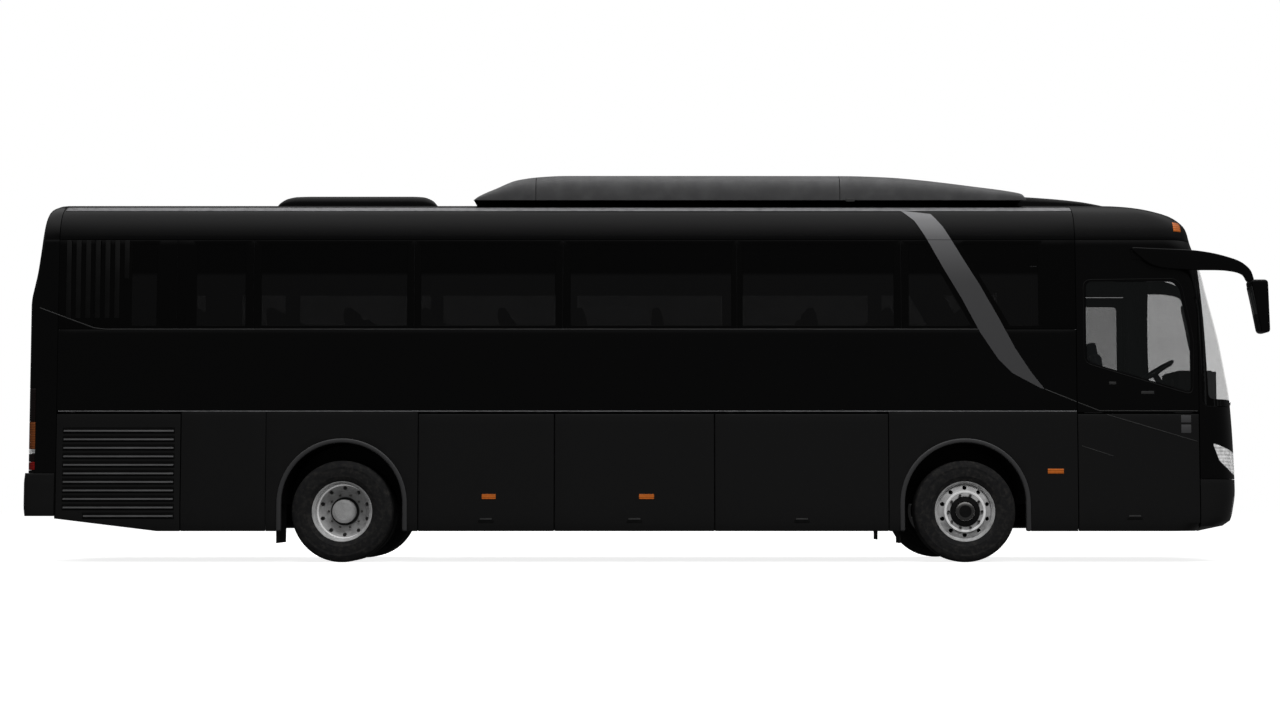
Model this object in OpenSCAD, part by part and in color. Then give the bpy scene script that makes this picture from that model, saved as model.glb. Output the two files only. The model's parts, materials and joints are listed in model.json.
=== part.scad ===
// Two-axle touring coach, 1:1, millimetres.
// +X is the front, +Y the left side, +Z up. The tyres stand on z = 0.

/* [Body] */
// Widest half width of the body
half_width = 1250; // [1200:5:1275]
// X of the front-most point of the body
front_x = 6082; // [5950:1:6200]
// X of the rear-most point of the rear bumper
rear_x = -6243; // [-6400:1:-6100]
// Height of the bottom edge of the lower panels
skirt_z = 310; // [260:5:360]
// Height of the moulding line where the lower panels end
belt_z = 1505; // [1450:5:1560]
// Height of the bottom edge of the roof panels
rail_z = 3234; // [3200:1:3260]
// Thickness of the body walls
wall = 50; // [30:5:70]
// Gap round each door and lid
door_gap = 6; // [5:1:12]

/* [Wheels] */
// X of the front axle
front_axle_x = 3212; // [3100:1:3300]
// X of the rear axle
rear_axle_x = -3018; // [-3100:1:-2900]
// Outer radius of the tyres
tyre_r = 507; // [480:1:520]
// Width of one tyre
tyre_w = 276; // [250:1:290]
// Radius of the rim's bead seat
bead_r = 286; // [270:1:295]
// Outer face of the tyres, from the middle of the coach
tyre_face_y = 1225; // [1200:1:1235]
// Inner radius of the wheel arch opening
arch_r = 605; // [600:1:620]
// Height of the centre of the wheel arch
arch_z = 585; // [560:1:600]
// Distance of the kingpins from the middle of the coach
kingpin_y = 937; // [930:1:945]

/* [Windows] */
// Height of the bottom edge of the side windows
sill_z = 2370; // [2300:5:2400]
// Height of the top edge of the side windows
lintel_z = 3190; // [3150:5:3220]
// X of the seam behind the driver's window and the entry door
cab_seam_x = 4338; // [4300:1:4380]
// Length of the front mask
mask_len = 524; // [500:1:560]

/* [Floors] */
// Height of the passenger deck
deck_z = 1530; // [1520:5:1560]
// Height of the driver's floor
cab_floor_z = 1100; // [1050:5:1150]
// Thickness of the floors
floor_t = 60; // [40:5:80]
// Height of the luggage bay floor
bay_floor_z = 420; // [400:5:450]

/* [Seats] */
// Number of seat rows on each side
seat_rows = 12; // [8:1:12]
// Distance from one seat row to the next
seat_pitch = 780; // [740:5:800]

/* [Roof] */
// X of the rear end of the air conditioner
ac_rear_x = -1738; // [-1900:1:-1600]
// X of the front end of the air conditioner
ac_front_x = 3900; // [3600:1:4100]
// Height of the top of the air conditioner
ac_top_z = 3975; // [3900:5:4000]

/* [Hidden] */
$fn = 48;
eps = 1;
far_x = front_x + 218;         // past every part of the body, for cutting boxes
far_y = half_width + 150;
far_z = 3800;
mask_seam_x = front_x - mask_len;

// Colours
black_paint = [0.03, 0.03, 0.03];
grey_paint = [0.27, 0.27, 0.27];
stripe_grey = [0.4, 0.4, 0.4];
dark_glass = [0.05, 0.05, 0.05];
silver = [0.75, 0.75, 0.75];
rubber_black = [0.06, 0.06, 0.06];
frame_grey = [0.2, 0.2, 0.2];

// Outer form: half width, nose and tail against height
width_table = [[skirt_z - 60, half_width - 28], [skirt_z, half_width - 22],
    [skirt_z + 120, half_width - 4], [600, half_width], [2300, half_width],
    [rail_z, half_width - 14], [3330, half_width - 28], [3430, half_width - 62],
    [3510, half_width - 120], [3570, half_width - 205], [3612, half_width - 320],
    [3640, half_width - 480], [3652, half_width - 700]];
nose_table = [[skirt_z - 60, front_x - 480], [skirt_z, front_x - 370], [350, front_x - 155],
    [420, front_x - 50], [540, front_x - 22], [710, front_x], [1114, front_x - 10],
    [1640, front_x - 41], [1940, front_x - 88], [2235, front_x - 142], [2680, front_x - 250],
    [3000, front_x - 329], [3233, front_x - 416], [3377, front_x - 452], [3490, front_x - 555],
    [3562, front_x - 720], [3624, front_x - 956], [3652, front_x - 1200]];
tail_table = [[skirt_z - 60, rear_x + 60], [900, rear_x + 50], [2570, rear_x + 50],
    [2920, rear_x + 111], [3230, rear_x + 150], [3540, rear_x + 191], [3612, rear_x + 260],
    [3652, rear_x + 350]];
levels = [skirt_z, 350, 420, 540, 710, 1114, 1505, 1940, 2350, 2680, 3000, rail_z, 3377, 3490,
    3562, 3612, 3640, 3652];
roof_z = 3652;
inner_start_z = 3330;        // above this the inner skin drops by the wall thickness
nose_depth = 450;            // how far back the rounded nose reaches
nose_power = 2.6;
tail_depth = 150;
tail_power = 6;
bumper_depth = 140;
bumper_power = 5;
curve_steps = 14;
tail_seam_x = -5878;

function body_w(z) = lookup(z, width_table);
function nose_x(z) = lookup(z, nose_table);
function tail_x(z) = lookup(z, tail_table);
function skin_z(z, inset) = z <= inner_start_z ? z
    : z - inset * (z - inner_start_z) / (roof_z - inner_start_z);
function spow(v, p) = sign(v) * pow(abs(v), p);
// Rounded end of the body at one height, from the left side to the right
function end_curve(w, tip, depth, power) = [for (i = [0 : curve_steps])
    let (a = 180 * i / curve_steps)
    [tip - depth + depth * spow(sin(a), 2 / power), w * spow(cos(a), 2 / power)]];

// Solid of the body's end, from a flat plane at back_x out to the tip
module end_form(inset, back_x, front) {
    zs = inset > 0 ? concat([skirt_z - 60], levels) : levels;
    dir = front ? 1 : -1;
    rings = [for (z = zs)
        let (tip = (front ? nose_x(z) : max(-tail_x(z), inset - tail_seam_x + 8)) - inset,
            depth = front ? nose_depth : min(tail_depth, tip + tail_seam_x - 4),
            power = front ? nose_power : tail_power,
            curve = end_curve(body_w(z) - inset, tip, depth, power))
        concat([[back_x * dir, body_w(z) - inset]], curve, [[back_x * dir, -(body_w(z) - inset)]])];
    n = len(rings[0]);
    m = len(zs);
    points = [for (k = [0 : m - 1]) for (p = rings[k]) [dir * p[0], p[1], skin_z(zs[k], inset)]];
    sides = [for (k = [0 : m - 2]) for (i = [0 : n - 1])
        let (j = (i + 1) % n, a = k * n + i, b = k * n + j, c = a + n, d = b + n)
        each [[a, b, d], [a, d, c]]];
    caps = [[for (i = [0 : n - 1]) n - 1 - i], [for (i = [0 : n - 1]) (m - 1) * n + i]];
    faces = concat(sides, caps);
    polyhedron(points, front ? faces : [for (f = faces) [for (i = [len(f) - 1 : -1 : 0]) f[i]]]);
}

// Cross-section of the middle of the body, as [y, z]
function section_points(inset, base) = let (
        right = concat([[-(body_w(base) - inset), base]],
            [for (r = width_table) if (r[0] > base) [-(r[1] - inset), skin_z(r[0], inset)]]),
        n = len(right))
    concat(right, [for (i = [n - 1 : -1 : 0]) [-right[i][0], right[i][1]]]);

module along_x(x0, x1) translate([x0, 0, 0]) rotate([90, 0, 90]) linear_extrude(x1 - x0) children();
module mid_form(inset, x0, x1, base = skirt_z) along_x(x0, x1) polygon(section_points(inset, base));
module box(x, y, z) translate([x[0], y[0], z[0]]) cube([x[1] - x[0], y[1] - y[0], z[1] - z[0]]);
module both_sides() { children(); mirror([0, 1, 0]) children(); }

// Walls of the three stretches of the body
module mid_wall(x0, x1, outer = 0, inner = wall) difference() {
    mid_form(outer, x0, x1);
    mid_form(inner, x0 - eps, x1 + eps, skirt_z - 60);
}
module nose_wall(outer = 0, inner = wall) difference() {
    end_form(outer, cab_seam_x, true);
    end_form(inner, cab_seam_x - eps, true);
}
module tail_wall(outer = 0, inner = wall) difference() {
    end_form(outer, tail_seam_x, false);
    end_form(inner, tail_seam_x + eps, false);
}
side_y = [-half_width - 60, -half_width + 400];

// Rear underside rises toward the back
rise_start_x = -4860;
rise_end_z = 480;
module under_rise() along_y(3000) polygon([[rise_start_x, 0], [rise_start_x, skirt_z],
    [rear_x, rise_end_z], [rear_x - 200, rise_end_z + 20], [rear_x - 200, 0]]);
module along_y(w) translate([0, w / 2, 0]) rotate([90, 0, 0]) linear_extrude(w) children();

// Wheel arch opening as [x, z], grown by extra
module arch_shape(extra = 0) {
    translate([0, arch_z]) circle(arch_r + extra);
    translate([-arch_r - extra, 0]) square([2 * (arch_r + extra), arch_z]);
}
module arch_cut(x) translate([x, 0, 0]) along_y(3000) arch_shape(arch_lip);
arch_lip = 50;
lip_proud = 8;

/* Hinges: barrels on the axis; the fixed ones reach up, the moving one reaches down */
hinge_r = 6;
hinge_barrel = 60;
hinge_play = 0.4;
hinge_rise = 14;      // from the axis to the fixed panel's edge
hinge_drop = 12;      // from the axis to the door's edge
hinge_in = hinge_r;   // from the outer skin to the axis
module hinge_fixed() for (s = [-1, 1]) translate([s * (hinge_barrel + hinge_play) , 0, 0]) {
    rotate([0, 90, 0]) cylinder(r = hinge_r, h = hinge_barrel, center = true);
    translate([-hinge_barrel / 2, -4, 0]) cube([hinge_barrel, 8, hinge_rise]);
}
module hinge_moving() {
    rotate([0, 90, 0]) cylinder(r = hinge_r, h = hinge_barrel, center = true);
    translate([-hinge_barrel / 2, -4, -hinge_drop - 2]) cube([hinge_barrel, 8, hinge_drop + 2]);
}
top_hinge_z = belt_z - hinge_rise + 1;
door_top_z = top_hinge_z - hinge_drop;
side_hinge_y = -half_width + hinge_in;
hinge_inset = 160;    // from each end of a lid to its hinge
module on_lid_hinges(x0, x1) for (x = [x0 + hinge_inset, x1 - hinge_inset])
    translate([x, side_hinge_y, top_hinge_z]) children();

// Lower panels, from the rear: seams in X
side_door_rear_x = tail_seam_x;
side_door_front_x = -4628;
arch_margin = 155;    // from the arch opening to the next panel seam
rear_panel_x = rear_axle_x - arch_r - arch_margin;
bay_x = [rear_axle_x + arch_r + arch_margin, -894, 707, front_axle_x - arch_r - arch_margin - 3];
panel_t = 40;

// Right-hand lid between two seams; the left one is its mirror image
module lid(x0, x1) {
    difference() {
        intersection() {
            mid_wall(x0 + door_gap, x1 - door_gap, 0, panel_t);
            box([x0, x1], side_y, [skirt_z - eps, door_top_z]);
        }
        under_rise();
        arch_cut(rear_axle_x);
        arch_cut(front_axle_x);
    }
    on_lid_hinges(x0, x1) hinge_moving();
}

/* Lower structure: the luggage bays between a ladder frame at each end */
side_in = half_width - wall - 30;     // the structure stops short of the side panels
bulkhead_t = 40;
rail_y = 400;
rail_w = 80;
rail_low = 640;
rail_high = 800;
member_t = 80;        // cross member between the rails
outrigger_t = 60;     // cross member that reaches the side panels
outrigger_rise = 40;
tail_member_x = -5930;
nose_member_x = mask_seam_x - 138;
front_rail_end = nose_member_x + member_t;
module bay_structure() color(frame_grey) {
    box([bay_x[0] - bulkhead_t, bay_x[3] + bulkhead_t], [-side_in, side_in],
        [bay_floor_z - bulkhead_t, bay_floor_z]);
    for (x = [bay_x[0] - bulkhead_t, bay_x[1] - bulkhead_t / 2, bay_x[2] - bulkhead_t / 2, bay_x[3]])
        box([x, x + bulkhead_t], [-side_in, side_in], [bay_floor_z - bulkhead_t, deck_z - floor_t]);
}
module rails(x0, x1) both_sides() box([x0, x1], [rail_y, rail_y + rail_w], [rail_low, rail_high]);
module cross_member(x) box([x, x + member_t], [-rail_y - rail_w, rail_y + rail_w], [rail_low, rail_high]);
module outrigger(x, rise) box([x, x + outrigger_t], [-side_in, side_in], [rail_low + rise, rail_high]);
module front_frame() color(frame_grey) {
    rails(bay_x[3] + bulkhead_t, front_rail_end);
    for (x = [cab_seam_x - 38, nose_member_x]) cross_member(x);
    outrigger(front_axle_x + 938, 0);
    for (x = [cab_seam_x, nose_member_x]) outrigger(x, outrigger_rise);
    tow_socket(tow_front_x, nose_member_x + 40, 1);
}
module rear_frame() color(frame_grey) {
    rails(tail_member_x - 20, bay_x[0] - bulkhead_t);
    for (x = [tail_member_x, -5200, -4700]) cross_member(x);
    outrigger(-4300, 0);
    outrigger(tail_member_x, outrigger_rise);
    box([side_door_front_x, side_door_front_x + bulkhead_t], [-side_in, side_in], [rail_low, deck_z - floor_t]);
    tow_socket(tow_rear_x, tail_member_x + 30, -1);
}
tow_r = 14;
tow_depth = 60;
tow_boss_r = 32;
tow_y = 440;
tow_z = 680;
tow_front_x = front_x - 25;
tow_rear_x = rear_x + 15;
module tow_socket(mouth_x, root_x, way) difference() {
    translate([root_x, tow_y, tow_z]) rotate([0, 90 * way, 0])
        cylinder(r = tow_boss_r, h = abs(mouth_x - root_x));
    translate([mouth_x - way * tow_depth, tow_y, tow_z]) rotate([0, 90 * way, 0])
        cylinder(r = tow_r, h = tow_depth + eps);
}
// Hole through a bumper for the socket behind it
module tow_hole(x, len) translate([x, tow_y, tow_z]) rotate([0, 90, 0]) cylinder(r = tow_boss_r + 0.5, h = len);

/* Floors */
deck_y = half_width - wall;
aisle_half = 220;
aisle_step_x = cab_seam_x - 300;      // where the aisle steps down toward the cab
aisle_drop = 200;
step_plate_t = 40;
module floor_deck() color(frame_grey) {
    difference() {
        union() {
            box([tail_seam_x, cab_seam_x], [-deck_y, deck_y], [deck_z - floor_t, deck_z]);
            // riser from the driver's floor up to the deck
            box([cab_seam_x - step_plate_t, cab_seam_x], [-deck_y, deck_y], [rail_high, deck_z]);
        }
        box([aisle_step_x, cab_seam_x + eps], [-aisle_half, aisle_half], [deck_z - aisle_drop, deck_z + eps]);
    }
    box([aisle_step_x - step_plate_t, cab_seam_x - step_plate_t], [-aisle_half, aisle_half],
        [deck_z - aisle_drop - step_plate_t, deck_z - aisle_drop]);
    box([aisle_step_x - step_plate_t, aisle_step_x], [-aisle_half, aisle_half],
        [deck_z - aisle_drop, deck_z - floor_t]);
}
door_x = [4480, 5380];
step_x = [4500, 5360];
step_in_y = half_width - 690;      // inner end of the entry steps
door_in_y = half_width - 70;       // outer end, just inside the door
step_low = 400;       // height of the lowest step
step_run = 220;
step_rise = 230;
step_t = 30;
step_wall = 20;
cab_floor_end = front_x - 122;
module cab_floor() color(frame_grey) {
    difference() {
        intersection() {
            end_form(wall, cab_seam_x, true);
            box([cab_seam_x, cab_floor_end], [-deck_y, deck_y], [cab_floor_z - floor_t, cab_floor_z]);
        }
        box(step_x, [step_in_y, half_width], [cab_floor_z - floor_t - eps, cab_floor_z + eps]);
    }
    for (i = [0 : 2]) {
        top = step_low + step_rise * (2 - i);
        rise = i == 0 ? cab_floor_z - floor_t : top + step_rise;
        box(step_x, [step_in_y + step_run * i - step_t, door_in_y], [top - step_t, top]);
        box(step_x, [step_in_y + step_run * i - step_t, step_in_y + step_run * i], [top, rise - (i == 0 ? 0 : step_t)]);
    }
    for (x = [step_x[0] - step_wall, step_x[1]])
        box([x, x + step_wall], [step_in_y - step_t, door_in_y], [step_low - step_t, cab_floor_z - floor_t]);
}

/* Body */
window_x = [[-5140, -4890], [-4490, -4000], [-3840, -2375], [-2237, -890], [-735, 878], [995, 2510]];
stripe_window = [[2660, sill_z], [3285, sill_z], [2817, lintel_z], [2660, lintel_z]];
fore_window = [[3672, sill_z], [3960, sill_z], [3960, lintel_z], [3182, lintel_z]];
module window_cuts() {
    for (w = window_x) box(w, [-3000, 3000], [sill_z, lintel_z]);
    along_y(6000) polygon(stripe_window);
    along_y(6000) polygon(fore_window);
}

module side_walls() color(black_paint) both_sides() {
    difference() {
        intersection() {
            mid_wall(tail_seam_x, cab_seam_x);
            box([tail_seam_x, cab_seam_x], side_y, [belt_z, rail_z]);
        }
        window_cuts();
    }
    for (i = [0 : 2]) on_lid_hinges(bay_x[i], bay_x[i + 1]) hinge_fixed();
    on_lid_hinges(side_door_rear_x, side_door_front_x) hinge_fixed();
}

roof_flat_half = half_width - 700;     // the roof is level this far out
module roof_panel() color(grey_paint) intersection() {
    mid_wall(tail_seam_x, cab_seam_x);
    box([tail_seam_x, cab_seam_x], [-roof_flat_half, roof_flat_half], [rail_z, far_z]);
}
module roof_sides() color(grey_paint) both_sides() intersection() {
    mid_wall(tail_seam_x, cab_seam_x);
    box([tail_seam_x, cab_seam_x], [-far_y, -roof_flat_half], [rail_z, far_z]);
}

// Windscreen opening: its sides lean with the pillars
screen_low_z = 1560;
screen_high_z = 3150;
screen_side_low = front_x - 482;
screen_side_high = front_x - 542;
module screen_region(grow = 0) along_y(3000)
    polygon([[screen_side_low - grow, screen_low_z - grow], [far_x, screen_low_z - grow],
        [far_x, screen_high_z + grow], [screen_side_high - grow, screen_high_z + grow]]);

module lamp_region() translate([0, -3000, 0]) rotate([90, 0, 0]) mirror([0, 0, 1]) linear_extrude(6000)
    polygon([for (p = [[-392, 1190], [-102, 1090], [118, 1080], [118, 800], [-182, 905], [-322, 1010]])
        [front_x + p[0], p[1]]]);
bumper_top_z = 830;

module front_roof_cap() color(black_paint) intersection() {
    nose_wall();
    box([cab_seam_x, far_x], [-far_y, far_y], [rail_z, far_z]);
}
module front_mask() color(black_paint) difference() {
    intersection() {
        nose_wall();
        box([mask_seam_x, far_x], [-far_y, far_y], [bumper_top_z, rail_z]);
    }
    screen_region();
    both_sides() lamp_cut();
}
lamp_in_y = 560;      // inner end of each headlamp
module lamp_cut() intersection() {
    lamp_region();
    box([mask_seam_x + 42, far_x], [-far_y, -lamp_in_y], [700, 1300]);
}
module windscreen() color(dark_glass) intersection() {
    nose_wall(0, glass_t);
    screen_region();
}
glass_t = 12;
module headlamps() color(silver) both_sides() intersection() {
    nose_wall(0, wall);
    lamp_cut();
    box([mask_seam_x, far_x], [-far_y, 0], [bumper_top_z, 1300]);
}
module front_bumper() color(black_paint) difference() {
    intersection() {
        nose_wall();
        box([mask_seam_x, far_x], [-far_y, far_y], [skirt_z - eps, bumper_top_z]);
    }
    tow_hole(front_x - 182, 300);
}

// Right quarter: wall with the driver's window; left quarter: frame of the entry door
driver_window_shape = [[4442, 2810], [5320, 2810], [5380, 2740], [5480, 2240], [5480, 1700],
    [4442, 2010]];
module driver_window_cut() rotate([90, 0, 0]) linear_extrude(1500)
    polygon(driver_window_shape);
door_z = [330, 2880];
module front_quarter_panels() color(black_paint) {
    difference() {
        intersection() {
            nose_wall();
            box([cab_seam_x, mask_seam_x], side_y, [belt_z, rail_z]);
        }
        driver_window_cut();
        screen_region();
    }
    on_lid_hinges(cab_seam_x, mask_seam_x) hinge_fixed();
    difference() {
        intersection() {
            nose_wall();
            box([cab_seam_x, mask_seam_x], [half_width - 400, half_width + 60], [skirt_z - eps, rail_z]);
        }
        box([door_x[0] - door_gap, door_x[1] + hinge_rise], [0, far_y], [0, door_z[1] + door_gap]);
        screen_region();
    }
    for (z = door_hinge_z) door_hinge(z) hinge_fixed();
}
door_hinge_z = [700, 2500];
// Upright hinge at the front edge of the entry door
door_hinge_x = door_x[1];
door_hinge_y = half_width - hinge_in;
module door_hinge(z) translate([door_hinge_x, door_hinge_y, z]) rotate([0, 90, 0])
    rotate([90, 0, 0]) rotate([-90, 0, 0]) children();

module driver_window() color(dark_glass) intersection() {
    nose_wall(0, glass_t);
    driver_window_cut();
}

rear_window_z = [2380, 3080];
engine_door_z = [930, 1560];
engine_door_half = 900;
module rear_mask() color(black_paint) {
    rear_mask_wall();
    on_engine_door_hinges() hinge_fixed();
}
module rear_mask_wall() difference() {
    tail_wall();
    under_rise();
    box([rear_x - 100, tail_seam_x - 150], [-980, 980], rear_window_z);
    box([rear_x - 100, tail_seam_x - 150], [-engine_door_half - door_gap, engine_door_half + door_gap],
        [engine_door_z[0] - door_gap, engine_door_z[1] + hinge_rise]);
    both_sides() tail_lamp_cut();
    box([rear_x - 100, -5900 - 80], [-far_y, far_y], [0, rear_bumper_top]);
}
rear_bumper_top = 890;
module tail_lamp_cut() box([rear_x - 100, -6085], [-far_y, -1000], [920, 1740]);
module tail_lamps() color("firebrick") both_sides() intersection() {
    tail_wall();
    tail_lamp_cut();
}
module side_windows() color(dark_glass) {
    both_sides() intersection() {
        mid_wall(tail_seam_x, cab_seam_x, 0, glass_t);
        window_cuts();
        box([tail_seam_x, cab_seam_x], side_y, [sill_z - eps, lintel_z + eps]);
    }
    intersection() {
        tail_wall(0, glass_t);
        box([rear_x - 100, tail_seam_x - 150], [-980, 980], rear_window_z);
    }
}
module rear_bumper() color(black_paint) difference() {
    intersection() {
        tail_bumper_form();
        box([rear_x - 100, -5900 - 80], [-far_y, far_y], [0, rear_bumper_top]);
    }
    tow_hole(rear_x - 50, 200);
}
module tail_bumper_form() difference() {
    translate([rear_x, 0, 460]) bumper_plan(0, rear_bumper_top - 460);
    translate([rear_x, 0, 400]) bumper_plan(wall, 600);
}
module bumper_plan(inset, h) linear_extrude(h) polygon(concat([[600, half_width - inset]],
    [for (p = end_curve(half_width - inset, -inset, bumper_depth, bumper_power)) [-p[0], p[1]]],
    [[600, -(half_width - inset)]]));

module skirt_panels() color(black_paint) {
    both_sides() for (s = [[side_door_front_x, rear_panel_x], [rear_panel_x, bay_x[0]],
            [bay_x[3], cab_seam_x]])
        difference() {
            intersection() {
                mid_wall(s[0], s[1], 0, panel_t);
                box([s[0], s[1]], side_y, [skirt_z - eps, belt_z]);
            }
            arch_cut(rear_axle_x);
            arch_cut(front_axle_x);
        }
}

module wheel_arch_trims() color(grey_paint) both_sides() for (x = [rear_axle_x, front_axle_x]) {
    liner = x == front_axle_x ? liner_front_y : liner_rear_y;
    difference() {
        translate([x, -flap_outer_y, 0]) rotate([90, 0, 0]) linear_extrude(half_width - flap_outer_y + lip_proud)
            difference() {
                arch_shape(arch_lip);
                arch_shape(0);
            }
        box([x - 2 * arch_r, x + 2 * arch_r], [-half_width - 100, 0], [-arch_r, skirt_z]);
    }
    // liner over the wheel
    translate([x, liner, 0]) rotate([90, 0, 0])
        linear_extrude(half_width - 60 + liner) difference() {
            arch_shape(liner_t);
            arch_shape(0);
            below_liner();
        }
    // its inner end
    translate([x, liner + liner_end_t, 0]) rotate([90, 0, 0]) linear_extrude(liner_end_t) difference() {
        arch_shape(0);
        below_liner();
    }
}
module below_liner() translate([-2 * arch_r, -arch_r]) square([4 * arch_r, arch_z + arch_r]);
liner_end_t = 8;
liner_t = 16;
liner_front_y = -half_width + 690;
liner_rear_y = -half_width + 650;

stripe_outline = [[2603, 3550], [2733, 3430], [2833, 3270], [3013, 2945], [3193, 2640], [3373, 2300],
    [3553, 2030], [3693, 1890], [3973, 1740], [4013, 1730], [3873, 1910], [3723, 2140], [3553, 2460],
    [3373, 2780], [3193, 3070], [3013, 3370], [2903, 3510]];
stripe_t = 4;
module stripe_panels() color(stripe_grey) both_sides() intersection() {
    mid_wall(2400, 4200, -stripe_t, 0);
    along_y(6000) polygon(stripe_outline);
    box([2400, 4200], side_y, [belt_z, rail_z - 2]);
}
// Side marker lamps ahead of the front wheels; those on the lids are trim
marker_size = [160, 8, 50];
module marker_lamps() color("darkorange") both_sides()
    translate([4035, -half_width - marker_size[1], 883]) cube(marker_size);

/* Roof */
ac_half = 980;
ac_gap = 20;          // dark gap between the roof and the air conditioner
ac_base_half = 700;
fairing_half = 550;
fairing_rear_x = ac_front_x - 250;
fairing_front_x = 4850;
fairing_rise = 130;
module air_conditioner() color(grey_paint) {
    along_y(2 * fairing_half) polygon([[fairing_rear_x, roof_z], [fairing_rear_x, roof_z + fairing_rise],
        [ac_front_x + 50, roof_z + 0.75 * fairing_rise], [4400, roof_z + 0.4 * fairing_rise],
        [fairing_front_x, roof_z + 3], [fairing_front_x, roof_z]]);
    difference() {
        along_y(2 * ac_half) polygon([[ac_rear_x, roof_z + ac_gap], [ac_rear_x + 40, roof_z + 60],
            [ac_rear_x + 420, ac_top_z - 30], [ac_rear_x + 720, ac_top_z], [ac_front_x - 1830, ac_top_z],
            [ac_front_x - 900, ac_top_z - 90], [ac_front_x, roof_z + 60], [ac_front_x, roof_z + ac_gap]]);
        both_sides() box([-3000, 5000], [ac_half - 120, ac_half + 1], [ac_top_z - 60, ac_top_z + 10]);
    }
    box([ac_rear_x + 150, fairing_rear_x], [-ac_base_half, ac_base_half], [roof_z, roof_z + ac_gap + eps]);
}
vent_top_z = 3790;
vent_half = 600;
module roof_vent() color(grey_paint) along_y(2 * vent_half)
    polygon([[-3808, roof_z], [-3730, vent_top_z - 35], [-3640, vent_top_z],
        [-2300, vent_top_z], [-2220, vent_top_z - 35], [-2138, roof_z]]);

/* Outside fittings */
mirror_tip_x = front_x + 161;
arm_t = 60;
module mirrors() color(black_paint) difference() {
    both_sides() {
        // arm leaves the side above the cab window, runs forward and turns down to the head
        translate([front_x, -half_width + 30, 0]) rotate([90, 0, 0]) linear_extrude(arm_t + 20) polygon([
            [-1220, 3160], [-1022, 3145], [-572, 3130], [-332, 3090], [-102, 3020], [8, 2930], [48, 2820],
            [-32, 2820], [-62, 2875], [-132, 2905], [-272, 2925], [-572, 2925], [-882, 2945], [-1020, 2990]]);
        translate([mirror_tip_x - mirror_depth, -half_width - 190, 2265]) mirror_head();
    }
    end_form(0, cab_seam_x, true);
}
mirror_depth = 185;
module mirror_head() hull() {
    translate([0, 10, 80]) cube([50, 220, 490]);
    translate([60, 0, 30]) cube([70, 240, 540]);
    translate([140, 50, 0]) cube([45, 150, 500]);
}
wiper_len = 850;
wiper_z = [1590, 1625];
module wipers() color(rubber_black) for (y = [-900, 60])
    intersection() {
        nose_wall(-26, -0.3);
        box([screen_side_low, far_x], [y, y + wiper_len], wiper_z);
    }
module mud_flaps() color(rubber_black) both_sides() {
    mud_flap(rear_axle_x, 640);
    mud_flap(front_axle_x, 900);
}
// Hangs behind a wheel, from the lower panel's inner face in to inner_y
module mud_flap(axle_x, inner_y) intersection() {
    box([axle_x - arch_r - flap_back, axle_x - arch_r - flap_back + flap_t], [-flap_outer_y, -inner_y],
        [flap_low, flap_high]);
    mid_form(panel_t, axle_x - arch_r - 2 * flap_back, axle_x - arch_r, flap_low);
}
flap_outer_y = half_width - 60;
flap_back = 55;       // from the arch opening back to the flap
flap_t = 15;
flap_low = 190;
flap_high = 760;

/* Inside */
dash_x = front_x - 682;
dash_right = half_width - 70;
dash_left = 900;
dash_top_z = 1560;
binnacle_x = [dash_x + 20, dash_x + 400];
binnacle_y = [-1000, -300];
binnacle_top_z = 1920;
module dashboard() color(frame_grey) {
    intersection() {
        end_form(wall, cab_seam_x, true);
        difference() {
            union() {
                box([dash_x, front_x - 82], [-dash_right, dash_left], [cab_floor_z, dash_top_z]);
                // instruments in front of the driver
                box(binnacle_x, binnacle_y, [dash_top_z - eps, binnacle_top_z]);
            }
            // knee room
            box([dash_x - 100, dash_x + 250], [-1000, -250], [cab_floor_z - eps, dash_top_z - 120]);
        }
    }
    // steering column
    translate(column_foot) rotate([0, column_tilt, 0]) cylinder(r = 32, h = column_len);
}
driver_y = -640;
column_foot = [dash_x + 120, driver_y, 1500];
column_tilt = -32;
column_len = 470;
wheel_gap = 0.4;
module steering_wheel() color(rubber_black) translate(column_foot) rotate([0, column_tilt, 0])
    translate([0, 0, column_len + wheel_gap]) {
        cylinder(r = 60, h = 30);
        translate([0, 0, 34]) rotate_extrude($fn = 64) translate([220, 0]) circle(16);
        for (a = [90, 210, 330]) rotate([0, 0, a]) translate([40, -18, 8]) cube([172, 36, 18]);
    }
module seat_pair(w) {
    translate([0, -w / 2, 380]) cube([460, w, 110]);
    translate([0, -w / 2, 400]) rotate([0, -12, 0]) translate([-20, 0, 0]) cube([110, w, 640]);
    translate([60, -w / 2 + 80, 0]) cube([320, 40, 382]);
    translate([60, w / 2 - 120, 0]) cube([320, 40, 382]);
}
seat_first_x = 3350;
module passenger_seats() color([0.12, 0.12, 0.14]) for (i = [0 : seat_rows - 1]) for (s = [-1, 1])
    translate([seat_first_x - i * seat_pitch, s * 700, deck_z]) seat_pair(900);
module driver_seat() color([0.12, 0.12, 0.14]) translate([4700, driver_y, cab_floor_z]) {
    translate([80, -230, 0]) cube([340, 460, 330]);
    translate([0, -260, 330]) cube([500, 520, 110]);
    translate([0, -250, 380]) rotate([0, -10, 0]) translate([-40, 0, 0]) cube([120, 500, 760]);
}
module luggage_racks() color(frame_grey) both_sides()
    box([tail_seam_x + 400, 3900], [-body_w(rack_z[1]) + wall + 0.3, -760], rack_z);
rack_z = [2900, 3120];
engine_rear_x = tail_seam_x + 178;
engine_top_z = 1400;
module engine_block() color(frame_grey)
    box([engine_rear_x, side_door_front_x], [-rail_y, rail_y], [rail_high, engine_top_z]);

/* Running gear */
hub_bore = 40.05;
spindle_r = 40;
tyre_mid_y = tyre_face_y - tyre_w / 2;
twin_gap = 34;
module tyre_form() rotate_extrude($fn = 96) polygon(concat(
    [for (s = tyre_side) [s[0], s[1]]], [for (i = [len(tyre_side) - 1 : -1 : 0]) [tyre_side[i][0], -tyre_side[i][1]]]));
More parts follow.
